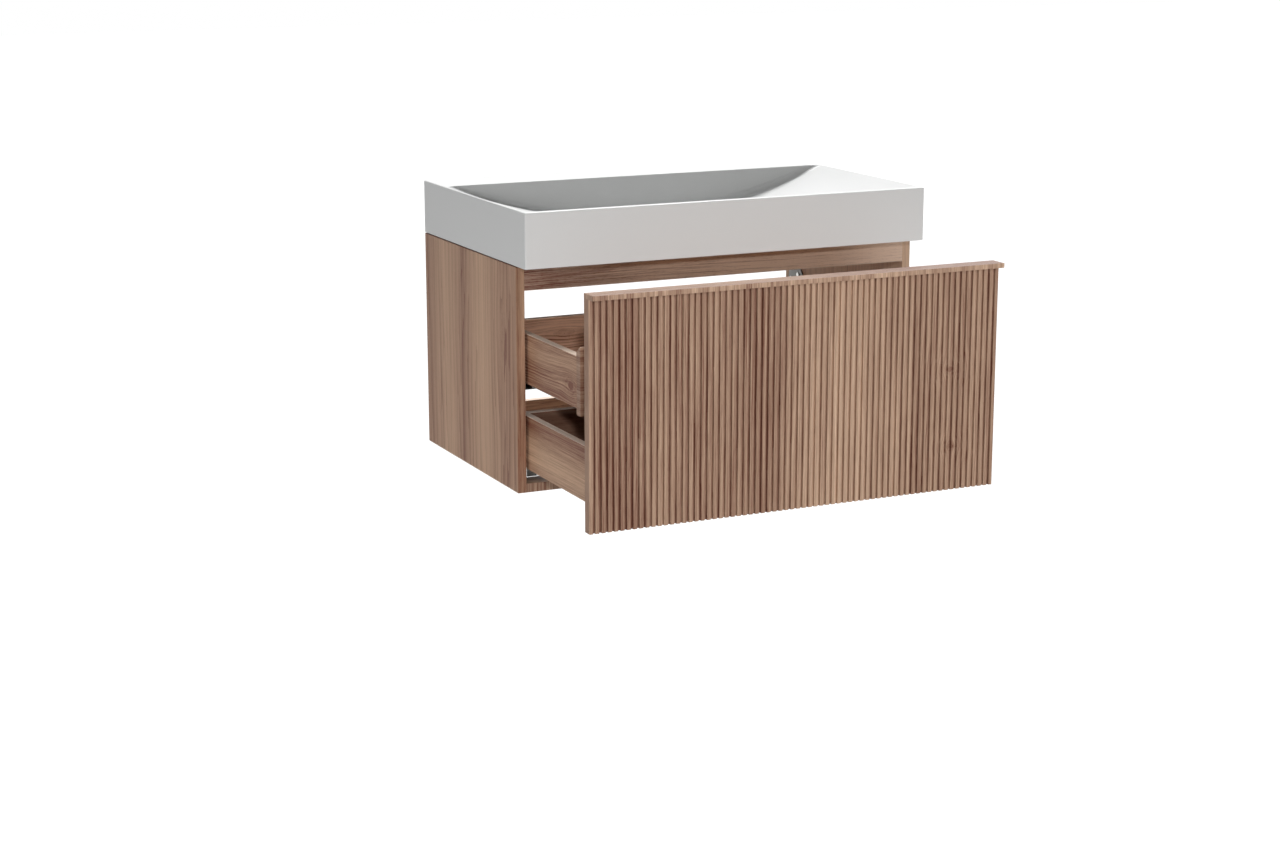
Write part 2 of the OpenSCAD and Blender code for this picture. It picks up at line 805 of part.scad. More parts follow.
// Dowels at a side's front (along y) and rear (along x) joints
function pin_heights(h) = [floor_lift + floor_t + pin_edge, h - pin_edge];
module front_pins(y0, h, z, grow) {
  for (v = pin_heights(h))
    rod_y([-x_box + box_t / 2, y0 - pin_in_front, z + v], pin_d + grow, pin_len);
}
module back_pins(y1, h, z, grow) {
  for (v = pin_heights(h))
    rod_x([-x_box_in - pin_in_side, y1 - box_t / 2, z + v], pin_d + grow, pin_len);
}
module box_pins(y0, depth, h, z, grow) {
  front_pins(y0, h, z, grow);
  back_pins(y0 + depth, h, z, grow);
}

// A drawer's side, grooved for the floor
module box_side(y0, depth, h, z) {
  difference() {
    block([-x_box, y0, z], [-x_box_in, y0 + depth, z + h]);
    block([-x_box_in - floor_groove - GROOVE_PLAY, y0 - CUT, z + floor_lift],
          [-x_box_in + CUT, y0 + depth + CUT, z + floor_lift + floor_t + GROOVE_PLAY]);
    box_pins(y0, depth, h, z, 2 * FIT);
  }
}

module lower_side() { box_side(y_low, low_depth, low_h, z_low); }
module inner_side() { box_side(y_inner, inner_depth, inner_h, z_inner); }

module lower_side_left() { color(WOOD) lower_side(); }
module lower_side_right() { color(WOOD) twin() lower_side(); }
module inner_side_left() { color(WOOD) inner_side(); }
module inner_side_right() { color(WOOD) twin() inner_side(); }

// Height at which a drawer's back and inner walls stand, on its floor
function on_floor(z) = z + floor_lift + floor_t;

module lower_back() {
  y1 = y_low + low_depth;
  color(WOOD) difference() {
    block([-x_box_in, y1 - box_t, on_floor(z_low)], [x_box_in, y1, z_low + low_h]);
    pair() back_pins(y1, low_h, z_low, 2 * FIT);
  }
}

module lower_floor() {
  x = x_box_in + floor_groove;
  color(WOOD) block([-x, y_low, z_low + floor_lift], [x, y_low + low_depth, on_floor(z_low)]);
}

module lower_dowels() {
  color(BEECH) pair() box_pins(y_low, low_depth, low_h, z_low, 0);
}

module inner_dowels() {
  color(BEECH) pair() box_pins(y_inner, inner_depth, inner_h, z_inner, 0);
}

// ---- Fluted front --------------------------------------------------------

module flutes() {
  for (i = [0 : flute_n - 1])
    translate([-front_w / 2 + flute_end + i * flute_pitch, -front_t - CUT])
      square([flute_w, flute_deep + CUT]);
}

module fluted_front() {
  color(WOOD) difference() {
    translate([0, y_low, z_cab_bot]) linear_extrude(z_lip - z_cab_bot) difference() {
      translate([-front_w / 2, -front_t]) square([front_w, front_t]);
      flutes();
    }
    pair() front_pins(y_low, low_h, z_low, 2 * FIT);
  }
}

module front_lip() {
  color(WOOD) block([-front_w / 2, y_low - front_t - lip_out, z_lip], [front_w / 2, y_low, z_lip_top]);
}

module front_buffers() {
  color(CLEAR) pair() for (z = buffer_z)
    rod_y([-x_out + board_t / 2, y_low, z], buffer_d, front_gap - BUFFER_PLAY);
}

// ---- Inner drawer --------------------------------------------------------

// The low front, its top edge falling away to the back as a finger grip
module inner_front() {
  z0 = z_inner - inner_front_drop;
  z1 = z0 + inner_front_h;
  color(WOOD_DARK) difference() {
    along_x(-x_box, x_box) polygon([
      [y_inner, z0], [y_inner - inner_front_t, z0],
      [y_inner - inner_front_t, z1], [y_inner - inner_front_t + grip_flat, z1],
      [y_inner, z1 - grip_fall]
    ]);
    pair() front_pins(y_inner, inner_h, z_inner, 2 * FIT);
  }
}

module inner_back() {
  y1 = y_inner + inner_depth;
  difference() {
    block([-x_box_in, y1 - box_t, on_floor(z_inner)], [-recess_w / 2 - recess_t, y1, z_inner + inner_h]);
    back_pins(y1, inner_h, z_inner, 2 * FIT);
  }
}

module inner_back_left() { color(WOOD) inner_back(); }
module inner_back_right() { color(WOOD) twin() inner_back(); }

module recess_wall() {
  block([-recess_w / 2 - recess_t, y_recess + recess_t, on_floor(z_inner)],
        [-recess_w / 2, y_inner + inner_depth, z_inner + inner_h]);
}

module recess_wall_left() { color(WOOD) recess_wall(); }
module recess_wall_right() { color(WOOD) twin() recess_wall(); }

module recess_wall_front() {
  x = recess_w / 2 + recess_t;
  color(WOOD) block([-x, y_recess, on_floor(z_inner)], [x, y_recess + recess_t, z_inner + inner_h]);
}

module inner_floor() {
  x = x_box_in + floor_groove;
  color(WOOD) difference() {
    block([-x, y_inner, z_inner + floor_lift], [x, y_inner + inner_depth, on_floor(z_inner)]);
    block([-recess_w / 2, y_recess + recess_t, z_inner], [recess_w / 2, y_inner + inner_depth + CUT, z_inner + inner_h]);
  }
}

// ---- Pieces --------------------------------------------------------------

basin();
basin_bead();
waste_body();
waste_seal();
waste_nut();
waste_plug();
side_left();
side_right();
cabinet_floor();
front_rail();
back_rail_upper();
back_rail_lower();
cabinet_dowels();
hanger_left();
hanger_right();
hanger_hook_left();
hanger_hook_right();
wall_plate_left();
wall_plate_right();
hanger_screws();
hanger_adjusters();
lower_runner_left();
lower_runner_right();
inner_runner_left();
inner_runner_right();
runner_screws();
runner_blocks();
lower_middle_left();
lower_middle_right();
lower_middle_blocks();
inner_middle_left();
inner_middle_right();
inner_middle_blocks();
fluted_front();
front_lip();
front_buffers();
lower_side_left();
lower_side_right();
lower_back();
lower_floor();
lower_rail_left();
lower_rail_right();
lower_rail_blocks();
lower_clips();
lower_dowels();
inner_front();
inner_side_left();
inner_side_right();
inner_back_left();
inner_back_right();
recess_wall_left();
recess_wall_right();
recess_wall_front();
inner_floor();
inner_rail_left();
inner_rail_right();
inner_rail_blocks();
inner_clips();
inner_dowels();
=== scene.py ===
"""Looks of a floating vanity: a cast basin on a walnut cabinet whose fluted front stands open.

Every length is in metres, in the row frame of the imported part: the origin is the middle of the wall
fixings on the wall plane, +Y goes into the wall, +X to the right as seen from the front, +Z up.
"""

import logging
import math
from dataclasses import dataclass, replace
from enum import Enum
from typing import Any, Sequence, Union

import bpy
import numpy as np
from bpy.types import Material, Node, NodeSocket, Object
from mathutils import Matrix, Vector


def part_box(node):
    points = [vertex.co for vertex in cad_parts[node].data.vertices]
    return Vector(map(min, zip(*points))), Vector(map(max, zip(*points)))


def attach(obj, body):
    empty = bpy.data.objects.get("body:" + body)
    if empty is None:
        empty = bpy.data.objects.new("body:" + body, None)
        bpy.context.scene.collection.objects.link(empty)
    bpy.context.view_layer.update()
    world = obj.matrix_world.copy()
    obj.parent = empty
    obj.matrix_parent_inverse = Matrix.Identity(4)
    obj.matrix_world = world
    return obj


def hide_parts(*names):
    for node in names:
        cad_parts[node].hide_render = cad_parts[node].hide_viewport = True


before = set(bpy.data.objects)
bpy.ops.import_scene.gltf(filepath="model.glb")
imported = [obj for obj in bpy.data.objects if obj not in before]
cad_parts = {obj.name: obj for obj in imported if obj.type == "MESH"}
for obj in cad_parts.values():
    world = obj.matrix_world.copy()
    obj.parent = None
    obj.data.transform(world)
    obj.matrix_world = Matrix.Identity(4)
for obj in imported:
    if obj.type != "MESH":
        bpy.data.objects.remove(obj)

log = logging.getLogger("vanity")

Colour = tuple[float, float, float]
Place = tuple[float, float, float]
Tones = tuple[tuple[float, float], ...]
Number = Union["Value", float]

WHITE: Colour = (1.0, 1.0, 1.0)
ARC_STEPS = 3
HANDS = ("left", "right")


class Axis(Enum):
    """An axis of the row frame."""

    X = 0
    Y = 1
    Z = 2


X, Y, Z = Axis


class Side(Enum):
    """A face of a board, as its axis and the sign of its outward direction."""

    LEFT = (0, -1)
    RIGHT = (0, 1)
    FRONT = (1, -1)
    BOTTOM = (2, -1)
    TOP = (2, 1)


class Body(Enum):
    """The bodies that the new pieces ride on."""

    CABINET = "cabinet"
    LOWER_DRAWER = "lower_drawer"
    INNER_DRAWER = "inner_drawer"


class Slot(Enum):
    """A name of the record's walnut material slot; nothing in this script uses it."""

    WALNUT = "walnut"


# Shader maths


class Value:
    """A number in a node tree. Python's operators on it add Math nodes."""

    def __init__(self, tree: "NodeTree", socket: NodeSocket) -> None:
        """Keeps the tree and the socket that carries the number."""
        self.tree = tree
        self.socket = socket

    def __add__(self, other: Number) -> "Value":
        """The sum with a number or a value."""
        return self.tree.maths("ADD", self, other)

    def __radd__(self, other: Number) -> "Value":
        """The sum, number first."""
        return self.tree.maths("ADD", other, self)

    def __sub__(self, other: Number) -> "Value":
        """The difference."""
        return self.tree.maths("SUBTRACT", self, other)

    def __rsub__(self, other: Number) -> "Value":
        """The difference, number first."""
        return self.tree.maths("SUBTRACT", other, self)

    def __mul__(self, other: Number) -> "Value":
        """The product."""
        return self.tree.maths("MULTIPLY", self, other)

    def __rmul__(self, other: Number) -> "Value":
        """The product, number first."""
        return self.tree.maths("MULTIPLY", other, self)

    def __truediv__(self, other: Number) -> "Value":
        """The quotient."""
        return self.tree.maths("DIVIDE", self, other)

    def __rtruediv__(self, other: Number) -> "Value":
        """The quotient, number first."""
        return self.tree.maths("DIVIDE", other, self)

    def __pow__(self, other: Number) -> "Value":
        """This value raised to a power."""
        return self.tree.maths("POWER", self, other)

    def part(self) -> "Value":
        """What is left after the whole number is taken off."""
        return self.tree.maths("FRACT", self)

    def passes(self, limit: float) -> "Value":
        """1 above the limit, and 0 elsewhere."""
        return self.tree.maths("GREATER_THAN", self, limit)

    def rise(self, low: float, high: float) -> "Value":
        """A smooth step.

        Args:
            low: Where the step starts, at 0.
            high: Where it ends, at 1; below low for a step down.

        Returns:
            The step's height, from 0 to 1.
        """
        start, end, ends = (low, high, (0.0, 1.0)) if low < high else (high, low, (1.0, 0.0))
        made = self.tree.node(
            "ShaderNodeMapRange",
            {"interpolation_type": "SMOOTHSTEP"},
            {0: self, "From Min": start, "From Max": end, "To Min": ends[0], "To Max": ends[1]},
        )
        return Value(self.tree, made.outputs[0])


class NodeTree:
    """A node tree that is filled by calls."""

    def __init__(self, tree: bpy.types.NodeTree) -> None:
        """Takes a tree and empties it."""
        self.tree = tree
        self.tree.nodes.clear()

    def node(
        self,
        kind: str,
        settings: dict[str, Any] | None = None,
        inputs: dict[Any, Any] | None = None,
    ) -> Node:
        """Adds a node.

        Args:
            kind: Blender's name of the node's type.
            settings: Its properties, set first; "stops" are a ramp's (place, colour) pairs.
            inputs: What goes into its sockets, by name or number: a number, a value or a link.

        Returns:
            The new node.
        """
        made = self.tree.nodes.new(kind)
        for name, setting in (settings or {}).items():
            if name == "stops":
                self._set_stops(made.color_ramp, setting)
            else:
                setattr(made, name, setting)
        for socket, value in (inputs or {}).items():
            self.feed(made.inputs[socket], value)
        return made

    @staticmethod
    def _set_stops(ramp: bpy.types.ColorRamp, stops: Sequence[tuple[float, Colour]]) -> None:
        """Puts new stops in place of a ramp's own two.

        Args:
            ramp: The ramp.
            stops: Places and colours, in rising order.
        """
        while len(ramp.elements) > 1:
            ramp.elements.remove(ramp.elements[-1])
        for number, (place, colour) in enumerate(stops):
            stop = ramp.elements[0] if number == 0 else ramp.elements.new(place)
            stop.position = place
            stop.color = (*colour, 1.0)

    def feed(self, socket: NodeSocket, value: Any) -> None:
        """Gives a socket its input.

        Args:
            socket: The socket.
            value: A value or another node's socket to link, or a constant to set.
        """
        if isinstance(value, Value):
            self.tree.links.new(value.socket, socket)
        elif isinstance(value, NodeSocket):
            self.tree.links.new(value, socket)
        else:
            socket.default_value = value

    def maths(self, operation: str, *terms: Number) -> Value:
        """One Math node on these terms."""
        made = self.node("ShaderNodeMath", {"operation": operation}, dict(enumerate(terms)))
        return Value(self, made.outputs[0])

    def vector(self, x: Number, y: Number, z: Number) -> NodeSocket:
        """A vector from three numbers."""
        return self.node("ShaderNodeCombineXYZ", None, {0: x, 1: y, 2: z}).outputs[0]

    def noise(self, at: NodeSocket, detail: float = 2.0, roughness: float = 0.5) -> Value:
        """Smooth noise about 0.

        Args:
            at: The place in units of the noise's own grain.
            detail: How many finer layers are added.
            roughness: How strong each finer layer is.

        Returns:
            A value from about -0.5 to 0.5.
        """
        inputs = {"Vector": at, "Scale": 1.0, "Detail": detail, "Roughness": roughness}
        made = self.node("ShaderNodeTexNoise", None, inputs)
        return Value(self, made.outputs[0]) - 0.5

    def seen(self) -> Value:
        """Tells what is looked at from what only lights.

        Returns:
            1 on a ray from the camera, off gloss or through glass, and 0 on any other.
        """
        path = self.node("ShaderNodeLightPath")
        camera, glossy, through = (
            Value(self, path.outputs[f"Is {kind} Ray"])
            for kind in ("Camera", "Glossy", "Transmission")
        )
        return self.maths("MAXIMUM", self.maths("MAXIMUM", camera, glossy), through)


class FinishTree(NodeTree):
    """One finish's node tree. Its place is the point's X, Y and Z, from Object coordinates."""

    def __init__(self, name: str) -> None:
        """Makes the material, its Principled shader and output, and the point's place."""
        self.material = bpy.data.materials.new(name)
        self.material.use_nodes = True
        super().__init__(self.material.node_tree)
        self.shader = self.node("ShaderNodeBsdfPrincipled")
        self.node("ShaderNodeOutputMaterial", None, {"Surface": self.shader.outputs[0]})
        found = self.node("ShaderNodeTexCoord").outputs["Object"]
        split = self.node("ShaderNodeSeparateXYZ", None, {0: found})
        self.place = tuple(Value(self, split.outputs[axis.value]) for axis in Axis)

    def cloud(self, waves: float, detail: float = 2.0) -> Value:
        """Noise alike in every direction, with this many waves in a metre."""
        return self.noise(self.vector(*(along * waves for along in self.place)), detail)

    def mix(self, share: Number, first: Any, second: Any, how: str = "MIX") -> NodeSocket:
        """Mixes two colours.

        Args:
            share: How much of the second colour, from 0 to 1.
            first: A colour or a link to one.
            second: A colour or a link to one.
            how: The blend mode.

        Returns:
            The mixed colour.
        """
        colours = [(*c, 1.0) if isinstance(c, tuple) else c for c in (first, second)]
        made = self.node(
            "ShaderNodeMix",
            {"data_type": "RGBA", "blend_type": how, "clamp_factor": True},
            {0: share, 6: colours[0], 7: colours[1]},
        )
        return made.outputs[2]

    def shade(self, colour: Any, by: Number) -> NodeSocket:
        """Multiplies a colour by a number, alike in its three parts."""
        return self.mix(1.0, colour, self.vector(by, by, by), "MULTIPLY")

    def bump(self, height: Value, depth: float) -> None:
        """Feeds a height, of which 1 is depth metres, to the shader's Normal."""
        inputs = {"Height": height, "Distance": depth, "Strength": 1.0}
        made = self.node("ShaderNodeBump", None, inputs)
        self.feed(self.shader.inputs["Normal"], made.outputs[0])

    def finish(self, **inputs: Any) -> Material:
        """Sets the shader's sockets.

        Args:
            inputs: What goes into each socket, whose name has _ for a space.

        Returns:
            The material.
        """
        for name, value in inputs.items():
            self.feed(self.shader.inputs[name.replace("_", " ")], value)
        return self.material


# Finishes


@dataclass(frozen=True)
class Layer:
    """A layer of noise in wood, by its waves in a metre across and along the grain.

    Weight, bump and dull are how far it moves the tone, the surface and the roughness. Detail and
    roughness are how much finer noise it carries.
    """

    across: float
    along: float
    weight: float = 1.0
    bump: float = 0.0
    dull: float = 0.0
    detail: float = 2.0
    roughness: float = 0.5

    def flow(self, along: Value, across: Value, depth: Number) -> Value:
        """The layer where it bends the grain, at a place along and across it."""
        at = along.tree.vector(along * self.along, across * self.across, depth)
        return along.tree.noise(at, self.detail, self.roughness)

    def figure(self, line: Value, along: Value, depth: Number) -> Value:
        """The layer where it draws the figure, on a line of the grain and a place along it."""
        at = along.tree.vector(line * self.across, along * self.along, depth)
        return along.tree.noise(at, self.detail, self.roughness)


@dataclass(frozen=True)
class Shades:
    """The lightest and the darkest colour of a wood."""

    light: Colour = (0.760, 0.535, 0.375)
    dark: Colour = (0.170, 0.066, 0.040)


RUDDY = Shades((0.800, 0.535, 0.355), (0.190, 0.066, 0.036))
# Painted light: this warmer, lighter walnut makes the inner drawer's back look lit.
WARM_PAINTED_LIGHT = Shades((0.900, 0.570, 0.400), (0.230, 0.070, 0.035))
# Painted light: this pale walnut, used at raised tones, makes edges that stand in shade under the
# basin look lit.
PALE_PAINTED_LIGHT = Shades((0.930, 0.750, 0.610), (0.210, 0.100, 0.070))


@dataclass(frozen=True)
class Knot:
    """A knot that the grain flows round, by its place and size along and across the grain.

    Depth is how much it darkens. What every knot shares stands in capitals.
    """

    along: float
    across: float
    length: float = 0.030
    width: float = 0.010
    depth: float = 0.40

    PULL = 0.9
    WOBBLE = Layer(260.0, 160.0, weight=1.3)
    RINGS = 1.9
    RING_POWER = 2.0
    EYE_EDGE = (0.30, 0.02)
    EYE_SHADE = 0.5

    def bend(self, line: Value, along: Value, across: Value, seed: float) -> tuple[Value, Value]:
        """Bends the grain round the knot.

        The nearness is one over 1 plus the squared distance in units of the knot's half sizes. The
        line is pulled towards the knot's own line by the nearness, so that fibres part round it, and
        rings at even distances, bent by a little noise, fade out with the nearness squared.

        Args:
            line: The line of the grain that a point lies on.
            along: The point's place along the grain.
            across: Its place across the grain.
            seed: The slice through the noise.

        Returns:
            The bent line, and how much the knot's rings and eye darken.
        """
        wobble = self.WOBBLE.flow(along, across, seed)
        off = across - self.across
        reach = (along - self.along) / (self.length / 2.0)
        far = reach ** 2.0 + (off / (self.width / 2.0)) ** 2.0
        near = 1.0 / (1.0 + far)
        rings = ((far ** 0.5) * self.RINGS + wobble * self.WOBBLE.weight).part() ** self.RING_POWER
        eye = far.rise(*self.EYE_EDGE) * self.EYE_SHADE
        return line - off * near * self.PULL, (rings * near + eye) * near * self.depth


@dataclass(frozen=True)
class Walnut:
    """Satin-lacquered walnut veneer.

    The figure is worked out from the point's place along the grain and across it. The line across
    wanders with smooth noise. On that line, noise stretched along the grain gives broad bands, lines,
    streaks, fibres and pores, each a few times finer than the last. The year rings are the steps of
    the line over the ring's width plus a slow swell, which closes them into cathedrals and eyes where
    it changes faster than the line. All of them together move the colour between dark and light,
    about a tone that is given by place. Behind a given depth, as in a flute, the colour is darkened
    with painted shade. What every veneer shares stands in capitals.
    """

    name: str
    grain: Axis
    thick: Axis
    shades: Shades = Shades()
    tones: Tones = ((0.0, 1.0),)
    tone_axis: Axis | None = None
    joins: tuple[float, ...] = ()
    painted_shade_level: float | None = None
    seed: float = 0.0
    wander: float = 0.010
    ripple: float = 0.0010
    bands: float = 1.0
    rings: float = 0.10
    ring: float = 0.008
    figure: float = 2.0
    streaks: float = 1.0
    pores: float = 0.10
    roughness: float = 0.50
    knots: tuple[Knot, ...] = ()

    DRIFT = Layer(6.0, 1.8)
    SWAY = Layer(26.0, 13.0)
    BAND = Layer(24.0, 0.45, weight=0.62, detail=1.0)
    LINE = Layer(140.0, 1.3, weight=0.85)
    STREAK = Layer(430.0, 6.0, weight=0.95, roughness=0.6)
    FIBRE = Layer(1300.0, 36.0, weight=0.45, bump=0.5, dull=0.12)
    PORE = Layer(2200.0, 110.0, bump=-0.8, dull=0.08, detail=1.0)
    SWELL = Layer(9.0, 2.2, detail=1.0)
    FADE = Layer(16.0, 1.7, detail=1.0)
    PORE_EDGE = (0.08, 0.22)
    FADE_EDGE = (-0.16, 0.14)
    LEAF_SLICE = 5.3
    SWELL_SLICE = 2.7
    FADE_SLICE = 8.1
    RING_BEND = 1.4
    RING_POWER = 3.0
    PLAIN = 0.5
    TONE_GAIN = 0.62
    PAINTED_SHADE_FALL = 0.002
    PAINTED_SHADE = 0.16
    BUMP_DEPTH = 0.00006

    def material(self) -> Material:
        """Builds the finish.

        Returns:
            The material.
        """
        tree = FinishTree(self.name)
        crosswise = Axis(3 - self.grain.value - self.thick.value)
        axes = (self.grain, crosswise, self.thick)
        along, across, through = (tree.place[axis.value] for axis in axes)
        leaf: Number = sum((across.passes(join) for join in self.joins), 0.0)
        shift = leaf * self.LEAF_SLICE + self.seed
        drift = self.DRIFT.flow(along, across, shift)
        sway = self.SWAY.flow(along, across, shift)
        line = across + drift * self.wander + sway * self.ripple
        eyes: Number = 0.0
        for knot in self.knots:
            line, eye = knot.bend(line, along, across, self.seed)
            eyes = eye + eyes
        band = self.BAND.figure(line, along, shift)
        lines = self.LINE.figure(line, along, shift)
        streak = self.STREAK.figure(line, along, shift)
        fibre = self.FIBRE.figure(line, along, through * self.FIBRE.across)
        pore = self.PORE.figure(line, along, through * self.PORE.across).rise(*self.PORE_EDGE)
        swell = self.SWELL.figure(line, along, shift + self.SWELL_SLICE)
        fade = self.FADE.figure(line, along, shift + self.FADE_SLICE).rise(*self.FADE_EDGE)
        turns = line / self.ring + swell * self.figure + lines * self.RING_BEND
        ring = (turns.part() ** self.RING_POWER) * fade
        tone = self._tone(tree.place[(self.tone_axis or crosswise).value])
        light = (
            self.PLAIN
            + (tone - 1.0) * self.TONE_GAIN
            + (band * self.BAND.weight + lines * self.LINE.weight) * self.bands
            + (streak * self.STREAK.weight + fibre * self.FIBRE.weight) * self.streaks
            - ring * self.rings
            - pore * self.pores
            - eyes
        )
        # Painted shade: behind this level, as on a flute's floor, the colour is darkened.
        if self.painted_shade_level is not None:
            light = light - through.rise(self.painted_shade_level, self.painted_shade_level + self.PAINTED_SHADE_FALL) * self.PAINTED_SHADE
        tree.bump(fibre * self.FIBRE.bump + pore * self.PORE.bump, self.BUMP_DEPTH)
        return tree.finish(
            Base_Color=tree.mix(light, self.shades.dark, self.shades.light),
            Roughness=self.roughness + fibre * self.FIBRE.dull + pore * self.PORE.dull,
            IOR=1.48,
            Specular_IOR_Level=0.2,
        )

    def _tone(self, where: Value) -> Value:
        """Looks the veneer's tone up on a ramp of places from -1 to 1 m and tones from 0 to 2.

        Args:
            where: The place on the axis that the tones are given on.

        Returns:
            The tone between the two nearest that are given; 1 is the plain tone.
        """
        stops = [((place + 1.0) / 2.0, (tone / 2.0,) * 3) for place, tone in self.tones]
        ramp = where.tree.node("ShaderNodeValToRGB", {"stops": stops}, {0: (where + 1.0) / 2.0})
        grey = where.tree.node("ShaderNodeRGBToBW", None, {0: ramp.outputs[0]})
        return Value(where.tree, grey.outputs[0]) * 2.0


def beech(name: str) -> Material:
    """Plain beech for dowels: the same wood finish, paler, with short dark flecks."""
    shades = Shades((0.70, 0.51, 0.33), (0.42, 0.27, 0.15))
    return Walnut(name, X, Y, shades, rings=0.0, pores=0.3).material()


@dataclass(frozen=True)
class GalvanisedSheet:
    """Hot-dipped sheet steel, whose zinc crystals differ in tone and gloss."""

    name: str = "galvanised_sheet"
    colour: Colour = (0.225, 0.220, 0.212)
    spangle: float = 0.007
    roughness: float = 0.55
    edge_waves: float = 90.0
    grit_waves: float = 1400.0
    grit_depth: float = 0.00001
    darkest: float = 0.84
    spangle_tone: float = 0.26
    grit_tone: float = 0.10
    spangle_roughness: float = 0.20

    def material(self) -> Material:
        """Builds the finish.

        Returns:
            The material.
        """
        tree = FinishTree(self.name)
        x, y, z = tree.place
        in_metre = 1.0 / self.spangle
        bend = tree.cloud(self.edge_waves)
        at = tree.vector(x * in_metre + bend, y * in_metre + bend, z * in_metre - bend)
        cells = tree.node("ShaderNodeTexVoronoi", {"feature": "F1"}, {"Vector": at, "Scale": 1.0})
        parts = tree.node("ShaderNodeSeparateColor", None, {0: cells.outputs["Color"]})
        tone = Value(tree, parts.outputs[0])
        grit = tree.cloud(self.grit_waves)
        tree.bump(grit, self.grit_depth)
        shade = self.darkest + tone * self.spangle_tone + grit * self.grit_tone
        smoothest = self.roughness - self.spangle_roughness / 2.0
        return tree.finish(
            Base_Color=tree.shade(self.colour, shade),
            Roughness=smoothest + tone * self.spangle_roughness,
            Metallic=1.0,
        )


@dataclass(frozen=True)
class ZincPlate:
    """Bright zinc plating, with faint drawing lines along the piece and a warmer haze."""

    name: str = "zinc_plate"
    colour: Colour = (0.66, 0.67, 0.68)
    haze_colour: Colour = (0.66, 0.65, 0.60)
    along: Axis = Y
    roughness: float = 0.33
    line_waves_along: float = 30.0
    line_waves_across: float = 1900.0
    line_depth: float = 0.000008
    line_roughness: float = 0.18
    haze_waves: float = 40.0
    haze_edge: tuple[float, float] = (0.3, 0.9)
    haze_roughness: float = 0.12

    def material(self) -> Material:
        """Builds the finish.

        Returns:
            The material.
        """
        tree = FinishTree(self.name)
        waves = [self.line_waves_across] * 3
        waves[self.along.value] = self.line_waves_along
        lines = tree.noise(tree.vector(*(place * count for place, count in zip(tree.place, waves))))
        haze = tree.cloud(self.haze_waves)
        tree.bump(lines, self.line_depth)
        return tree.finish(
            Base_Color=tree.mix((haze + 0.5).rise(*self.haze_edge), self.colour, self.haze_colour),
            Roughness=self.roughness + lines * self.line_roughness + haze * self.haze_roughness,
            Metallic=1.0,
        )


@dataclass(frozen=True)
class PolishedChrome:
    """Mirror-bright chrome with the faint haze of a few water marks."""

    name: str = "polished_chrome"
    colour: Colour = (0.80, 0.81, 0.83)
    roughness: float = 0.07
    mark_waves: float = 120.0
    mark_edge: tuple[float, float] = (0.05, 0.3)
    mark_roughness: float = 0.10

    def material(self) -> Material:
        """Builds the finish.

        Returns:
            The material.
        """
        tree = FinishTree(self.name)
        marks = tree.cloud(self.mark_waves, 3.0).rise(*self.mark_edge)
        return tree.finish(
            Base_Color=(*self.colour, 1.0),
            Roughness=self.roughness + marks * self.mark_roughness,
            Metallic=1.0,
        )


@dataclass(frozen=True)
class Moulded:
    """A cast or moulded surface, with a fine grit and a faint cloud in its tone and gloss."""

    name: str
    colour: Colour
    roughness: float = 0.5
    transmission: float = 0.0
    gloss: float = 0.5
    ior: float = 1.49
    grit_waves: float = 2200.0
    grit_detail: float = 2.0
    grit_depth: float = 0.00002
    grit_tone: float = 0.06
    cloud_waves: float = 60.0
    cloud_detail: float = 2.0
    cloud_tone: float = 0.12
    cloud_roughness: float = 0.12

    def material(self) -> Material:
        """Builds the finish.

        Returns:
            The material.
        """
        tree = FinishTree(self.name)
        grit = tree.cloud(self.grit_waves, self.grit_detail)
        cloud = tree.cloud(self.cloud_waves, self.cloud_detail)
        tree.bump(grit, self.grit_depth)
        tone = 1.0 + cloud * self.cloud_tone + grit * self.grit_tone
        return tree.finish(
            Base_Color=tree.shade(self.colour, tone),
            Roughness=self.roughness + cloud * self.cloud_roughness,
            Transmission_Weight=self.transmission,
            Specular_IOR_Level=self.gloss,
            IOR=self.ior,
        )


# Surfaces


@dataclass
class Surface:
    """A piece's points and outward normals, one row each, and the faces between them."""

    points: np.ndarray
    normals: np.ndarray
    faces: list[Sequence[int]]


def rounded_outline(corners: np.ndarray, radii: np.ndarray) -> tuple[np.ndarray, np.ndarray]:
    """Rounds the corners of a closed outline that runs anticlockwise.

    Each corner becomes an arc that touches both its sides: the arc's centre lies one radius inside
    the sides at a convex corner and one outside at a hollow one, and the point at normal n is the
    centre plus or minus the radius times n, while n turns evenly from one side's normal to the next.

    Args:
        corners: The corners, one row each.
        radii: The radius at each corner.

    Returns:
        The outline's points and its outward normals, one row each.
    """
    to = corners - np.roll(corners, 1, axis=0)
    on = np.roll(corners, -1, axis=0) - corners
    to_unit = to / np.linalg.norm(to, axis=1, keepdims=True)
    on_unit = on / np.linalg.norm(on, axis=1, keepdims=True)
    turn = np.arctan2(
        to_unit[:, 0] * on_unit[:, 1] - to_unit[:, 1] * on_unit[:, 0], (to_unit * on_unit).sum(axis=1)
    )
    sign = np.sign(turn)
    normal = np.stack([to_unit[:, 1], -to_unit[:, 0]], axis=1)
    reach = radii * np.tan(np.abs(turn) / 2.0)
    centre = corners - to_unit * reach[:, None] - normal * (sign * radii)[:, None]
    start = np.arctan2(normal[:, 1], normal[:, 0])
    angle = start[:, None] + turn[:, None] * np.linspace(0.0, 1.0, ARC_STEPS + 1)
    normals = np.stack([np.cos(angle), np.sin(angle)], axis=2)
    points = centre[:, None, :] + normals * (sign * radii)[:, None, None]
    return points.reshape(-1, 2), normals.reshape(-1, 2)


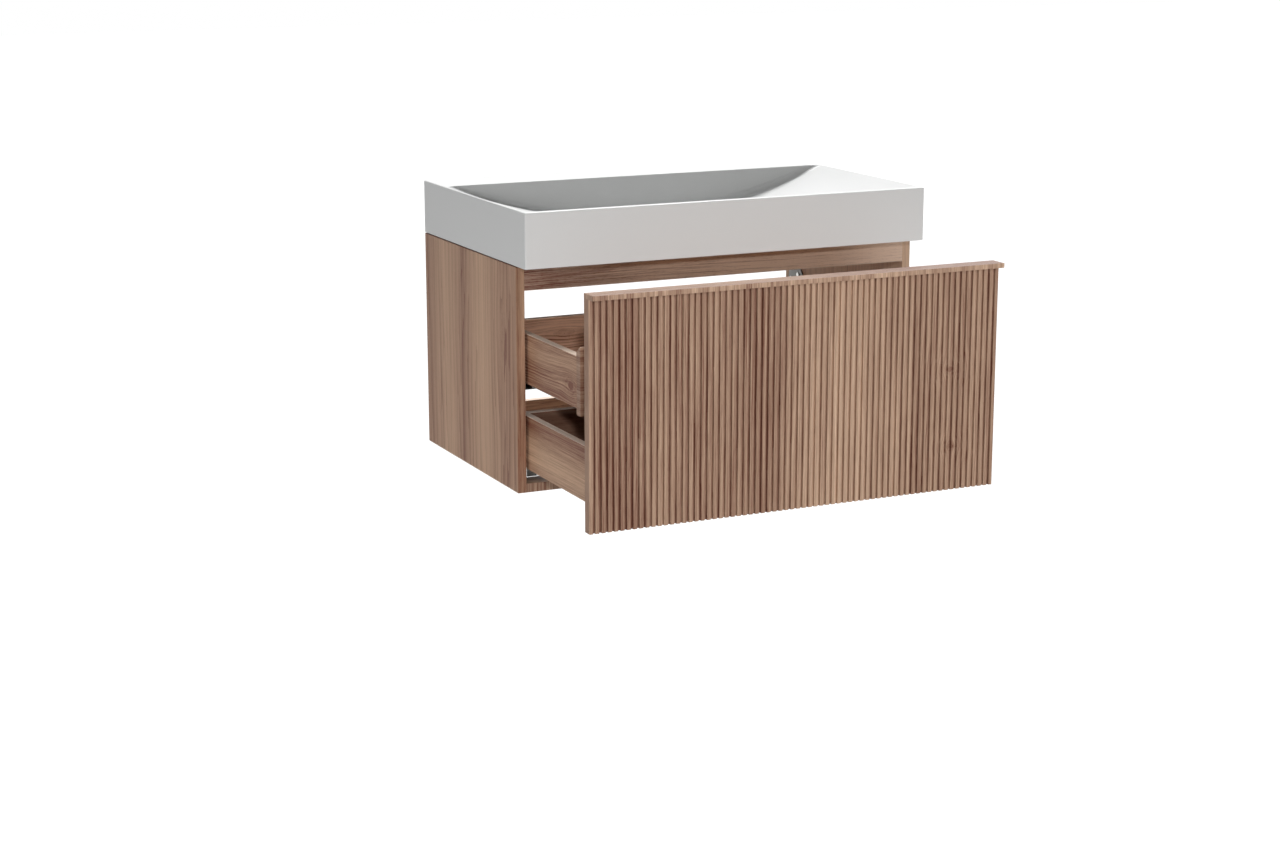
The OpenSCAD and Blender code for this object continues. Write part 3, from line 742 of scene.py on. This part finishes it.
def carried(
    outline: tuple[np.ndarray, np.ndarray],
    axis: Axis,
    start: float,
    end: float,
    radius: float,
) -> Surface:
    """Carries an outline straight along an axis, with both ends rounded and closed.

    The surface is a function of the place u round the outline and the place v along the axis. At
    each end v runs through a quarter turn t: the outline is pulled in along its own normal by
    radius times 1 - sin t, and stands radius times 1 - cos t inside the end.

    Args:
        outline: Points and normals in the plane of the next two axes, in the order X, Y, Z, X.
        axis: The axis that the outline is carried along.
        start: Where it starts.
        end: Where it ends.
        radius: The radius of the rounded ends.

    Returns:
        The closed surface.
    """
    points, normals = outline
    turn = np.linspace(0.0, math.pi / 2.0, ARC_STEPS + 1)
    turns = np.concatenate([turn, turn[::-1]])
    ends = np.repeat([-1.0, 1.0], ARC_STEPS + 1)
    height = np.where(ends < 0.0, start, end) - ends * radius * (1.0 - np.cos(turns))
    inset = radius * (1.0 - np.sin(turns))
    rows, count = len(turns), len(points)
    flat = points[None, :, :] - normals[None, :, :] * inset[:, None, None]
    first, second = (axis.value + 1) % 3, (axis.value + 2) % 3
    place = np.empty((rows, count, 3))
    place[:, :, axis.value] = height[:, None]
    place[:, :, first], place[:, :, second] = flat[:, :, 0], flat[:, :, 1]
    facing = np.empty_like(place)
    facing[:, :, axis.value] = (ends * np.cos(turns))[:, None]
    facing[:, :, first] = normals[None, :, 0] * np.sin(turns)[:, None]
    facing[:, :, second] = normals[None, :, 1] * np.sin(turns)[:, None]
    index = np.arange(rows * count).reshape(rows, count)
    ahead = np.roll(index, -1, axis=1)
    quads = np.stack([index[:-1], ahead[:-1], ahead[1:], index[1:]], axis=2).reshape(-1, 4)
    faces = quads.tolist() + [index[0, ::-1].tolist(), index[-1].tolist()]
    return Surface(place.reshape(-1, 3), facing.reshape(-1, 3), faces)


def block(low: Sequence[float], high: Sequence[float], axis: Axis, radius: float) -> Surface:
    """A board with every edge rounded: a rounded rectangle carried along an axis.

    Args:
        low: Its lowest corner.
        high: Its highest corner.
        axis: The axis that it is carried along.
        radius: The radius of its edges.

    Returns:
        The closed surface.
    """
    left, floor, right, top = (end[(axis.value + step) % 3] for end in (low, high) for step in (1, 2))
    corners = np.array([[left, floor], [right, floor], [right, top], [left, top]])
    outline = rounded_outline(corners, np.full(len(corners), radius))
    return carried(outline, axis, low[axis.value], high[axis.value], radius)


# Pieces


def in_scene(
    name: str, data: bpy.types.ID, place: Place = (0.0, 0.0, 0.0), ray: Vector | None = None
) -> Object:
    """Puts a mesh, lamp or camera in the scene.

    Args:
        name: The object's name.
        data: What it holds.
        place: Where it stands.
        ray: The direction in which a lamp or camera looks.

    Returns:
        The new object.
    """
    made = bpy.data.objects.new(name, data)
    bpy.context.scene.collection.objects.link(made)
    made.location = place
    if ray is not None:
        made.rotation_euler = ray.to_track_quat("-Z", "Y").to_euler()
    return made


def piece(
    name: str,
    surface: Surface,
    material: Material,
    body: Body,
    stands_for: Sequence[str] = (),
) -> None:
    """Makes a surface an object that rides on a body.

    Args:
        name: The object's name.
        surface: Its points, normals and faces.
        material: Its finish.
        body: The body that it moves with.
        stands_for: The CAD nodes that it is shown in place of.
    """
    mesh = bpy.data.meshes.new(name)
    mesh.from_pydata(surface.points, [], surface.faces)
    mesh.polygons.foreach_set("use_smooth", np.ones(len(mesh.polygons), dtype=bool))
    mesh.normals_split_custom_set_from_vertices(surface.normals.tolist())
    mesh.materials.append(material)
    made = in_scene(name, mesh)
    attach(made, body.value)
    if stands_for:
        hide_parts(*stands_for)
    log.info("%s: %d points on %s", name, len(surface.points), body.value)


def dress(nodes: Sequence[str], material: Material) -> None:
    """Gives CAD nodes a finish through their own material slots.

    Args:
        nodes: The nodes' names.
        material: The finish.
    """
    for name in nodes:
        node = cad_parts[name]
        node.data.materials.clear()
        node.data.materials.append(material)
        log.info("%s: dressed as %s", name, material.name)


@dataclass(frozen=True)
class Board:
    """A veneered board that stands for a CAD node, with edging strips on some of its narrow sides.

    Edging is the strips' thickness, and strip_rounding the share of it that rounds their edges.
    """

    node: str
    finish: Walnut
    edges: tuple[tuple[Side, Walnut], ...] = ()
    edging: float = 0.0010
    radius: float = 0.0005
    strip_rounding: float = 0.35

    def build(self, body: Body) -> None:
        """Builds the core and its edging strips.

        Args:
            body: The body that the board moves with.
        """
        low, high = (np.array(corner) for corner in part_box(self.node))
        strips = []
        for side, finish in self.edges:
            axis, sign = side.value
            strip_low, strip_high = low.copy(), high.copy()
            if sign > 0:
                high[axis] -= self.edging
                strip_low[axis] = high[axis]
            else:
                low[axis] += self.edging
                strip_high[axis] = low[axis]
            strip = block(strip_low, strip_high, finish.grain, self.edging * self.strip_rounding)
            strips.append((f"{self.node}_{side.name.lower()}_edging", strip, finish))
        core = block(low, high, self.finish.grain, self.radius)
        piece(f"{self.node}_board", core, self.finish.material(), body, [self.node])
        for label, strip, finish in strips:
            piece(label, strip, finish.material(), body)


# Sub-assemblies


@dataclass
class Basin:
    """The cast basin on its adhesive bead, with the waste below it."""

    surface: Moulded = Moulded(
        "cast_surface", (0.750, 0.756, 0.751), 0.40, ior=1.5, grit_waves=2600.0, grit_detail=1.0,
        grit_depth=0.000012, grit_tone=0.0, cloud_waves=9.0, cloud_detail=3.0, cloud_tone=0.03,
        cloud_roughness=0.08,
    )
    chrome: PolishedChrome = PolishedChrome()
    # The bead is real; its near-black colour is partly painted shade, standing in for the shadow gap
    # under the basin.
    bead: Moulded = Moulded("adhesive_bead_painted_shade", (0.020, 0.016, 0.014), 0.8, gloss=0.1)
    rubber: Moulded = Moulded("black_rubber", (0.030, 0.030, 0.030), 0.6)

    def build(self) -> None:
        """Dresses the basin, the bead and the waste's pieces."""
        dress(["basin"], self.surface.material())
        dress(["basin_bead"], self.bead.material())
        dress(["waste_body", "waste_nut", "waste_plug"], self.chrome.material())
        dress(["waste_seal"], self.rubber.material())


@dataclass
class Cabinet:
    """The boards that hang on the wall, with their dowels."""

    side_tones: Tones = (
        (-0.425, 0.88), (-0.400, 0.95), (-0.378, 0.86), (-0.362, 1.12), (-0.343, 0.93),
        (-0.300, 1.35), (-0.245, 1.16), (-0.205, 0.78), (-0.188, 0.36), (-0.179, 1.00),
        (-0.090, 1.30), (-0.060, 0.98), (-0.030, 0.77),
    )
    side_joins: tuple[float, ...] = (-0.375, -0.183)
    side_eye: Knot = Knot(0.060, -0.389, 0.160, 0.050, 0.12)
    # Painted light: the right side's inner face, below X 0.391, is lightened to tone 1.8 against 0.85
    # outside, as if lit inside the cabinet.
    inside_painted_light_tones: Tones = ((0.3910, 1.80), (0.3914, 0.85))
    inside_shades: Shades = Shades(light=(0.97, 0.70, 0.52))
    inside_joins: tuple[float, ...] = (-0.29, -0.12)
    rail_tones: Tones = ((-0.34, 0.58), (-0.28, 1.00), (-0.20, 1.38), (0.00, 1.70), (0.30, 1.95))
    rail_shades: Shades = Shades((0.90, 0.68, 0.53), (0.21, 0.080, 0.052))

    def boards(self) -> list[Board]:
        """Chooses the veneer and the edging of each board.

        Returns:
            The cabinet's boards.
        """
        edge = Walnut(
            "cabinet_edging", Z, Y, RUDDY, seed=5.0, rings=0.60, ring=0.0045, figure=6.0,
            tones=((-0.10, 0.67), (0.12, 0.93)), tone_axis=Z,
        )
        # Painted shade: a near-black strip on the side panels' tops stands in for the shadow line
        # under the basin.
        painted_shade_top = Walnut("cabinet_top_painted_shade", Y, Z, seed=3.0, tones=((0.0, 0.25),))
        pale = Walnut("cabinet_pale_edging", Z, Y, seed=6.0, tones=((0.0, 1.70),))
        short = Walnut(
            "cabinet_short_edging", Z, Y, seed=8.0, bands=1.5, wander=0.0, tones=((0.0, 0.80),)
        )
        # Painted light: the pale cross edging at tone 1.8 lightens the lower back rail's top, which
        # lies in shade.
        cross = Walnut("cabinet_cross_edging", X, Z, PALE_PAINTED_LIGHT, seed=9.0, tones=((0.0, 1.8),))
        left = Walnut(
            "side_left_veneer", Z, X, RUDDY, seed=2.0, tones=self.side_tones,
            joins=self.side_joins, bands=0.55, streaks=0.4, rings=0.38, ring=0.018, figure=5.0,
            knots=(self.side_eye,),
        )
        right = Walnut(
            "side_right_veneer", Z, X, self.inside_shades, seed=21.0,
            tones=self.inside_painted_light_tones, tone_axis=X, joins=self.inside_joins, bands=0.6,
        )
        floor = Walnut("cabinet_floor_veneer", X, Z, seed=11.0)
        rail = Walnut(
            "front_rail_veneer", X, Y, self.rail_shades, seed=14.0,
            tones=self.rail_tones, tone_axis=X, pores=0.30, streaks=1.8, bands=0.6, rings=0.08,
        )
        upper = Walnut("back_rail_upper_veneer", X, Y, seed=17.0)
        # Painted light: the lower back rail is lightened with pale walnut at tone 1.45, as if lit
        # from behind.
        lower = Walnut(
            "back_rail_lower_veneer", X, Y, PALE_PAINTED_LIGHT, seed=19.0, rings=0.40, figure=9.0,
            tones=((0.0, 1.45),),
        )
        return [
            Board("side_left", left, ((Side.TOP, painted_shade_top), (Side.FRONT, edge), (Side.BOTTOM, cross))),
            Board("side_right", right, ((Side.TOP, painted_shade_top), (Side.FRONT, pale), (Side.BOTTOM, cross))),
            Board("cabinet_floor", floor, ((Side.FRONT, short),)),
            Board("front_rail", rail, ((Side.BOTTOM, cross),)),
            Board("back_rail_upper", upper, ((Side.BOTTOM, cross),)),
            Board("back_rail_lower", lower, ((Side.TOP, cross),)),
        ]

    def build(self) -> None:
        """Builds the boards and dresses the dowels that join them."""
        for board in self.boards():
            board.build(Body.CABINET)
        dress(["cabinet_dowels"], beech("cabinet_dowel_beech"))


@dataclass
class WallFixings:
    """The hangers in the cabinet's back corners and the plates on the wall."""

    sheet: GalvanisedSheet = GalvanisedSheet()
    zinc: ZincPlate = ZincPlate("zinc_screws", along=X)

    def build(self) -> None:
        """Dresses the hangers, plates, hooks and screws."""
        parts = ("hanger", "hanger_hook", "wall_plate")
        dress([f"{part}_{hand}" for part in parts for hand in HANDS], self.sheet.material())
        dress(["hanger_screws", "hanger_adjusters"], self.zinc.material())


@dataclass
class Slides:
    """The full-extension slides under both drawers."""

    sheet: ZincPlate = ZincPlate("slide_steel", colour=(0.60, 0.60, 0.60))
    nylon: Moulded = Moulded("slide_nylon", (0.55, 0.55, 0.53), 0.5)
    screws: ZincPlate = ZincPlate("runner_screw_zinc", along=X)

    def build(self) -> None:
        """Dresses the runners, middle members and rails, their bearing blocks and screws."""
        steel, nylon = self.sheet.material(), self.nylon.material()
        for drawer in ("lower", "inner"):
            members = [f"{part}_{hand}" for part in ("runner", "middle", "rail") for hand in HANDS]
            dress([f"{drawer}_{member}" for member in members], steel)
            dress([f"{drawer}_{part}" for part in ("middle_blocks", "rail_blocks", "clips")], nylon)
        dress(["runner_blocks"], nylon)
        dress(["runner_screws"], self.screws.material())


@dataclass
class FlutedDrawer:
    """The full-height fluted front with its lip and buffers, and the drawer box at its foot.

    Painted shade darkens the flutes' floors from the share painted_shade_from of their depth inwards.
    """

    flutes: int = 68
    pitch: float = 0.01157
    width: float = 0.0044
    depth: float = 0.0050
    painted_shade_from: float = 0.2
    round_over: float = 0.0007
    end_radius: float = 0.0005
    lip_edging: float = 0.0012
    lip_radius: float = 0.0006
    front_tones: Tones = (
        (-0.3962, 1.10), (-0.3950, 0.81), (-0.367, 0.60), (-0.335, 0.63), (-0.290, 0.80),
        (-0.250, 0.95), (-0.150, 0.97), (-0.110, 0.78), (-0.050, 0.70), (-0.030, 0.87),
        (-0.007, 0.89), (-0.005, 1.15), (0.075, 1.25), (0.150, 1.05), (0.220, 0.96), (0.224, 0.82),
        (0.255, 0.88), (0.285, 0.93), (0.385, 0.92),
    )
    front_joins: tuple[float, ...] = (-0.31, -0.006, 0.222)
    front_knots: tuple[Knot, ...] = (
        Knot(0.010, 0.302, 0.020, 0.030, 0.22),
        Knot(-0.130, 0.306, 0.018, 0.028, 0.22),
    )
    lip_top_tones: Tones = ((-0.30, 0.68), (-0.05, 0.80), (0.10, 0.58), (0.30, 0.48))
    lip_tones: Tones = ((-0.40, 0.95), (0.0, 1.0), (0.40, 1.1))
    side_tones: Tones = ((-0.165, 1.10), (-0.135, 1.28), (-0.104, 1.05), (-0.098, 0.48))
    buffer: Moulded = Moulded("clear_buffer", (0.86, 0.86, 0.84), 0.25, transmission=0.6)

    def front(self) -> Surface:
        """Shapes the fluted front.

        The flutes' middles stand whole pitches apart, evenly about the front's own middle. In plan
        each is a rectangular slot in the front's face, and the outline, rounded at every corner, is
        carried upwards.

        Returns:
            The closed surface.
        """
        low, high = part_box("fluted_front")
        middle = (low.x + high.x) / 2.0
        centres = middle + (np.arange(self.flutes) - (self.flutes - 1) / 2.0) * self.pitch
        left, right = centres - self.width / 2.0, centres + self.width / 2.0
        face, floor = low.y, low.y + self.depth
        slot_x = np.stack([left, left, right, right], axis=1)
        slot_y = np.broadcast_to([face, floor, floor, face], slot_x.shape)
        slots = np.stack([slot_x, slot_y], axis=2).reshape(-1, 2)
        left_end, right_end = [[low.x, high.y], [low.x, face]], [[high.x, face], [high.x, high.y]]
        corners = np.concatenate([left_end, slots, right_end])
        outline = rounded_outline(corners, np.full(len(corners), self.round_over))
        return carried(outline, Z, low.z, high.z, self.end_radius)

    def boards(self) -> list[Board]:
        """Chooses the veneer and the edging of the lip and of the drawer's boards.

        Returns:
            The boards.
        """
        lip = Walnut(
            "lip_veneer", X, Z, seed=37.0, roughness=0.34, bands=0.4, rings=0.04,
            tones=self.lip_top_tones, tone_axis=X,
        )
        face = Walnut("lip_edging", Z, Y, seed=38.0, tones=self.lip_tones, bands=1.3, wander=0.0)
        end = Walnut("lip_end_edging", Z, X, seed=39.0, wander=0.0)
        # Painted light: the top edges of the lower drawer's sides and back are lightened to tone 1.6,
        # as if lit under the basin.
        edge = Walnut("lower_top_edging_painted_light", Y, Z, PALE_PAINTED_LIGHT, seed=41.0, tones=((0.0, 1.6),), bands=0.5)
        cross = Walnut("lower_cross_edging_painted_light", X, Z, PALE_PAINTED_LIGHT, seed=42.0, tones=((0.0, 1.6),))
        left = Walnut(
            "lower_side_left_veneer", Y, X, RUDDY, seed=43.0, tones=self.side_tones,
            bands=0.8, rings=0.14, ripple=0.0015,
        )
        right = replace(left, name="lower_side_right_veneer", seed=44.0)
        # Painted shade: the lower drawer's back and floor are darkened to tone 0.45, for the shade
        # that the inner drawer casts there.
        back = Walnut(
            "lower_back_veneer_painted_shade", X, Y, seed=45.0, tones=((0.0, 0.45),), bands=0.2,
            streaks=0.3, rings=0.0,
        )
        floor = Walnut(
            "lower_floor_veneer_painted_shade", X, Z, seed=46.0, tones=((0.0, 0.45),), bands=0.4,
            streaks=0.4, rings=0.0,
        )
        lip_edges = ((Side.FRONT, face), (Side.LEFT, end), (Side.RIGHT, end))
        return [
            Board("front_lip", lip, lip_edges, self.lip_edging, self.lip_radius),
            Board("lower_side_left", left, ((Side.TOP, edge),)),
            Board("lower_side_right", right, ((Side.TOP, edge),)),
            Board("lower_back", back, ((Side.TOP, cross),)),
            Board("lower_floor", floor),
        ]

    def build(self) -> None:
        """Builds the front, its lip and the drawer's boards, and dresses buffers and dowels."""
        # Painted shade darkens the flutes past a share of their depth.
        veneer = Walnut(
            "fluted_veneer", Z, Y, seed=31.0, tones=self.front_tones,
            joins=self.front_joins, painted_shade_level=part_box("fluted_front")[0].y + self.depth * self.painted_shade_from,
            bands=0.5, rings=0.18, figure=4.0, knots=self.front_knots,
        )
        finish = veneer.material()
        piece("fluted_front_panel", self.front(), finish, Body.LOWER_DRAWER, ["fluted_front"])
        for board in self.boards():
            board.build(Body.LOWER_DRAWER)
        dress(["front_buffers"], self.buffer.material())
        dress(["lower_dowels"], beech("lower_dowel_beech"))


@dataclass
class InnerDrawer:
    """The low inner drawer, cut out for the trap.

    Its front's top is flat for slope_flat and then falls by slope_drop to the back.
    """

    slope_flat: float = 0.002
    slope_drop: float = 0.0114
    slope_rounding: float = 0.3
    radius: float = 0.0006
    # Painted highlight: above Z 0.092 the inner front's top is lightened to tone 1.35, against 0.72
    # on its face.
    front_tones: Tones = ((0.0900, 0.72), (0.0920, 1.35))
    side_tones: Tones = ((0.0, 0.52), (0.05, 0.80))
    side_knot: Knot = Knot(-0.638, 0.020, 0.044, 0.028, 0.75)
    # Painted light: the inner drawer's back is lightened to tones 1.42 to 1.60, as if lit inside the
    # drawer.
    back_painted_light_tones: Tones = ((-0.34, 1.42), (-0.27, 1.60))
    back_eye: Knot = Knot(-0.250, 0.045, 0.080, 0.028, 0.40)

    def front(self) -> Surface:
        """Shapes the inner front: its end outline, with the sloping top, carried along X.

        Returns:
            The closed surface.
        """
        low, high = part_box("inner_front")
        foot = [[low.y, low.z], [high.y, low.z]]
        slope = [[high.y, high.z - self.slope_drop], [low.y + self.slope_flat, high.z]]
        corners = np.array([*foot, *slope, [low.y, high.z]])
        upper = self.slope_flat * self.slope_rounding
        radii = np.array([self.radius, self.radius, self.radius, upper, upper])
        return carried(rounded_outline(corners, radii), X, low.x, high.x, self.radius)

    def boards(self) -> list[Board]:
        """Chooses the veneer and the edging of each board.

        Returns:
            The drawer's boards behind its front.
        """
        # Painted light: the inner drawer's top edges are lightened to tone 1.8, as if lit under the
        # basin.
        edge = Walnut("inner_top_edging_painted_light", Y, Z, PALE_PAINTED_LIGHT, seed=52.0, tones=((0.0, 1.8),), bands=0.5)
        cross = Walnut("inner_cross_edging_painted_light", X, Z, PALE_PAINTED_LIGHT, seed=53.0, tones=((0.0, 1.8),))
        side = Walnut(
            "inner_side_left_veneer", Y, X, RUDDY, seed=54.0, tones=self.side_tones,
            wander=0.020, ripple=0.005, rings=0.65, ring=0.0050, figure=4.5, streaks=1.3, bands=0.7,
            knots=(self.side_knot,),
        )
        back = Walnut(
            "inner_back_left_veneer", X, Y, WARM_PAINTED_LIGHT, seed=56.0, tones=self.back_painted_light_tones,
            tone_axis=X, rings=0.70, ring=0.006, figure=11.0, knots=(self.back_eye,),
        )
        right = replace(side, name="inner_side_right_veneer", seed=55.0, knots=())
        back_right = replace(back, name="inner_back_right_veneer", seed=57.0, knots=())
        recess = Walnut("recess_left_veneer", Y, X, seed=58.0)
        finishes = (
            ("inner_side_left", side, edge),
            ("inner_side_right", right, edge),
            ("inner_back_left", back, cross),
            ("inner_back_right", back_right, cross),
            ("recess_wall_left", recess, edge),
            ("recess_wall_right", replace(recess, name="recess_right_veneer", seed=59.0), edge),
            ("recess_wall_front", Walnut("recess_front_veneer", X, Y, seed=60.0), cross),
        )
        return [Board(node, veneer, ((Side.TOP, edging),)) for node, veneer, edging in finishes]

    def build(self) -> None:
        """Builds the front and the boards, and dresses the floor and the dowels."""
        veneer = Walnut("inner_front_veneer", X, Y, seed=51.0, tones=self.front_tones, tone_axis=Z)
        finish = veneer.material()
        piece("inner_front_panel", self.front(), finish, Body.INNER_DRAWER, ["inner_front"])
        for board in self.boards():
            board.build(Body.INNER_DRAWER)
        dress(["inner_floor"], Walnut("inner_floor_veneer", X, Z, seed=61.0).material())
        dress(["inner_dowels"], beech("inner_dowel_beech"))


@dataclass(frozen=True)
class Softbox:
    """A rectangular soft lamp, by its place, size and power in watts."""

    name: str
    place: Place
    width: float
    height: float
    power: float


@dataclass
class Studio:
    """The camera, the soft light and the pale floor.

    Lens and sensor are in millimetres, and sight is how far the camera sees. The softboxes look at
    aim. The key lamp's spread is its cone's angle in degrees, and key_rim a point of the rim.
    """

    place: Place = (-1.972776, -4.287085, 0.871569)
    looking: Place = (0.4161446, 0.88083815, -0.22571625)
    lens: float = 67.82
    sensor: float = 36.0
    sight: float = 200.0
    floor_height: float = -1.40
    floor_size: float = 60.0
    floor_colour: Colour = (0.25, 0.25, 0.25)
    floor_glow: float = 0.80
    cloud_waves: float = 3.0
    cloud_tone: float = 0.01
    sky: float = 0.02
    sun_power: float = 3.72
    sun_from: Place = (0.42, 0.68, 1.0)
    sun_spread: float = 0.45
    aim: Place = (0.0, -0.4, 0.05)
    softboxes: tuple[Softbox, ...] = (
        Softbox("front_softbox", (0.0, -6.0, 0.15), 7.0, 0.06, 153.0),
        Softbox("left_softbox", (-5.2, -0.6, 3.0), 4.0, 0.3, 75.0),
    )
    key_from: Place = (-2.92, -6.74, 2.32)
    key_power: float = 490.0
    key_spread: float = 60.0
    key_fade: float = 0.04
    key_size: float = 0.20
    key_rim: Place = (0.0, -0.496, 0.300)

    def camera(self) -> None:
        """Sets the camera at the photograph's viewpoint."""
        data = bpy.data.cameras.new("camera")
        data.lens, data.sensor_width, data.sensor_fit = self.lens, self.sensor, "HORIZONTAL"
        data.clip_end = self.sight
        bpy.context.scene.camera = in_scene("camera", data, self.place, Vector(self.looking))

    def sun(self) -> None:
        """Adds the soft sun, overhead and a little behind."""
        data = bpy.data.lights.new("overhead", "SUN")
        data.energy, data.angle = self.sun_power, self.sun_spread
        in_scene("overhead", data, ray=-Vector(self.sun_from))

    def key(self) -> None:
        """Adds the key lamp, whose upper barn door closes along the basin's front rim.

        The lamp's cone touches the plane through the lamp and the rim's line: its axis is the ray to
        the rim, turned downwards off that plane by half the cone's angle.
        """
        data = bpy.data.lights.new("key", "SPOT")
        data.energy, data.shadow_soft_size = self.key_power, self.key_size
        data.spot_size, data.spot_blend = math.radians(self.key_spread), self.key_fade
        ray = (Vector(self.key_rim) - Vector(self.key_from)).normalized()
        down = ray.cross(Vector((1.0, 0.0, 0.0))).normalized()
        down = down if down.z < 0.0 else -down
        half = data.spot_size / 2.0
        in_scene("key", data, self.key_from, ray * math.cos(half) + down * math.sin(half))

    def soft_light(self) -> None:
        """Adds the softboxes, each aimed at the vanity's middle."""
        for box in self.softboxes:
            data = bpy.data.lights.new(box.name, "AREA")
            data.shape, data.size, data.size_y = "RECTANGLE", box.width, box.height
            data.energy = box.power
            made = in_scene(box.name, data, box.place, Vector(self.aim) - Vector(box.place))
            made.visible_camera = False

    def world(self) -> None:
        """Makes a white world: full white where it is seen, a plain level where it lights."""
        world = bpy.data.worlds.new("studio_world")
        bpy.context.scene.world = world
        world.use_nodes = True
        tree = NodeTree(world.node_tree)
        strength = tree.node(
            "ShaderNodeMapRange", None, {"Value": tree.seen(), "To Min": self.sky, "To Max": 1.0}
        )
        glow = tree.node(
            "ShaderNodeBackground", None, {"Color": (*WHITE, 1.0), "Strength": strength.outputs[0]}
        )
        tree.node("ShaderNodeOutputWorld", None, {"Surface": glow.outputs[0]})

    def floor(self) -> None:
        """Lays the pale floor, well below the hung vanity."""
        half = self.floor_size / 2.0
        corners = ((-half, -half), (half, -half), (half, half), (-half, half))
        mesh = bpy.data.meshes.new("floor")
        mesh.from_pydata([(*corner, self.floor_height) for corner in corners], [], [[0, 1, 2, 3]])
        tree = FinishTree("pale_floor")
        x, y, _ = tree.place
        cloud = tree.noise(tree.vector(x * self.cloud_waves, y * self.cloud_waves, 0.0))
        finish = tree.finish(
            Base_Color=tree.shade(self.floor_colour, 1.0 + cloud * self.cloud_tone),
            Roughness=0.9,
            Emission_Color=tree.shade(WHITE, tree.seen()),
            Emission_Strength=self.floor_glow,
        )
        mesh.materials.append(finish)
        made = in_scene("floor", mesh)

    def build(self) -> None:
        """Sets up the camera, light, world and floor."""
        self.camera()
        self.sun()
        self.key()
        self.soft_light()
        self.world()
        self.floor()
        bpy.context.scene.view_settings.view_transform = "Standard"


def main() -> None:
    """Builds the scene."""
    logging.basicConfig(level=logging.INFO, format="%(name)s: %(message)s")
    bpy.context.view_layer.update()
    Studio().build()
    for assembly in (Basin(), Cabinet(), WallFixings(), Slides(), FlutedDrawer(), InnerDrawer()):
        assembly.build()
        log.info("%s done", type(assembly).__name__)


if __name__ == "__main__":
    main()
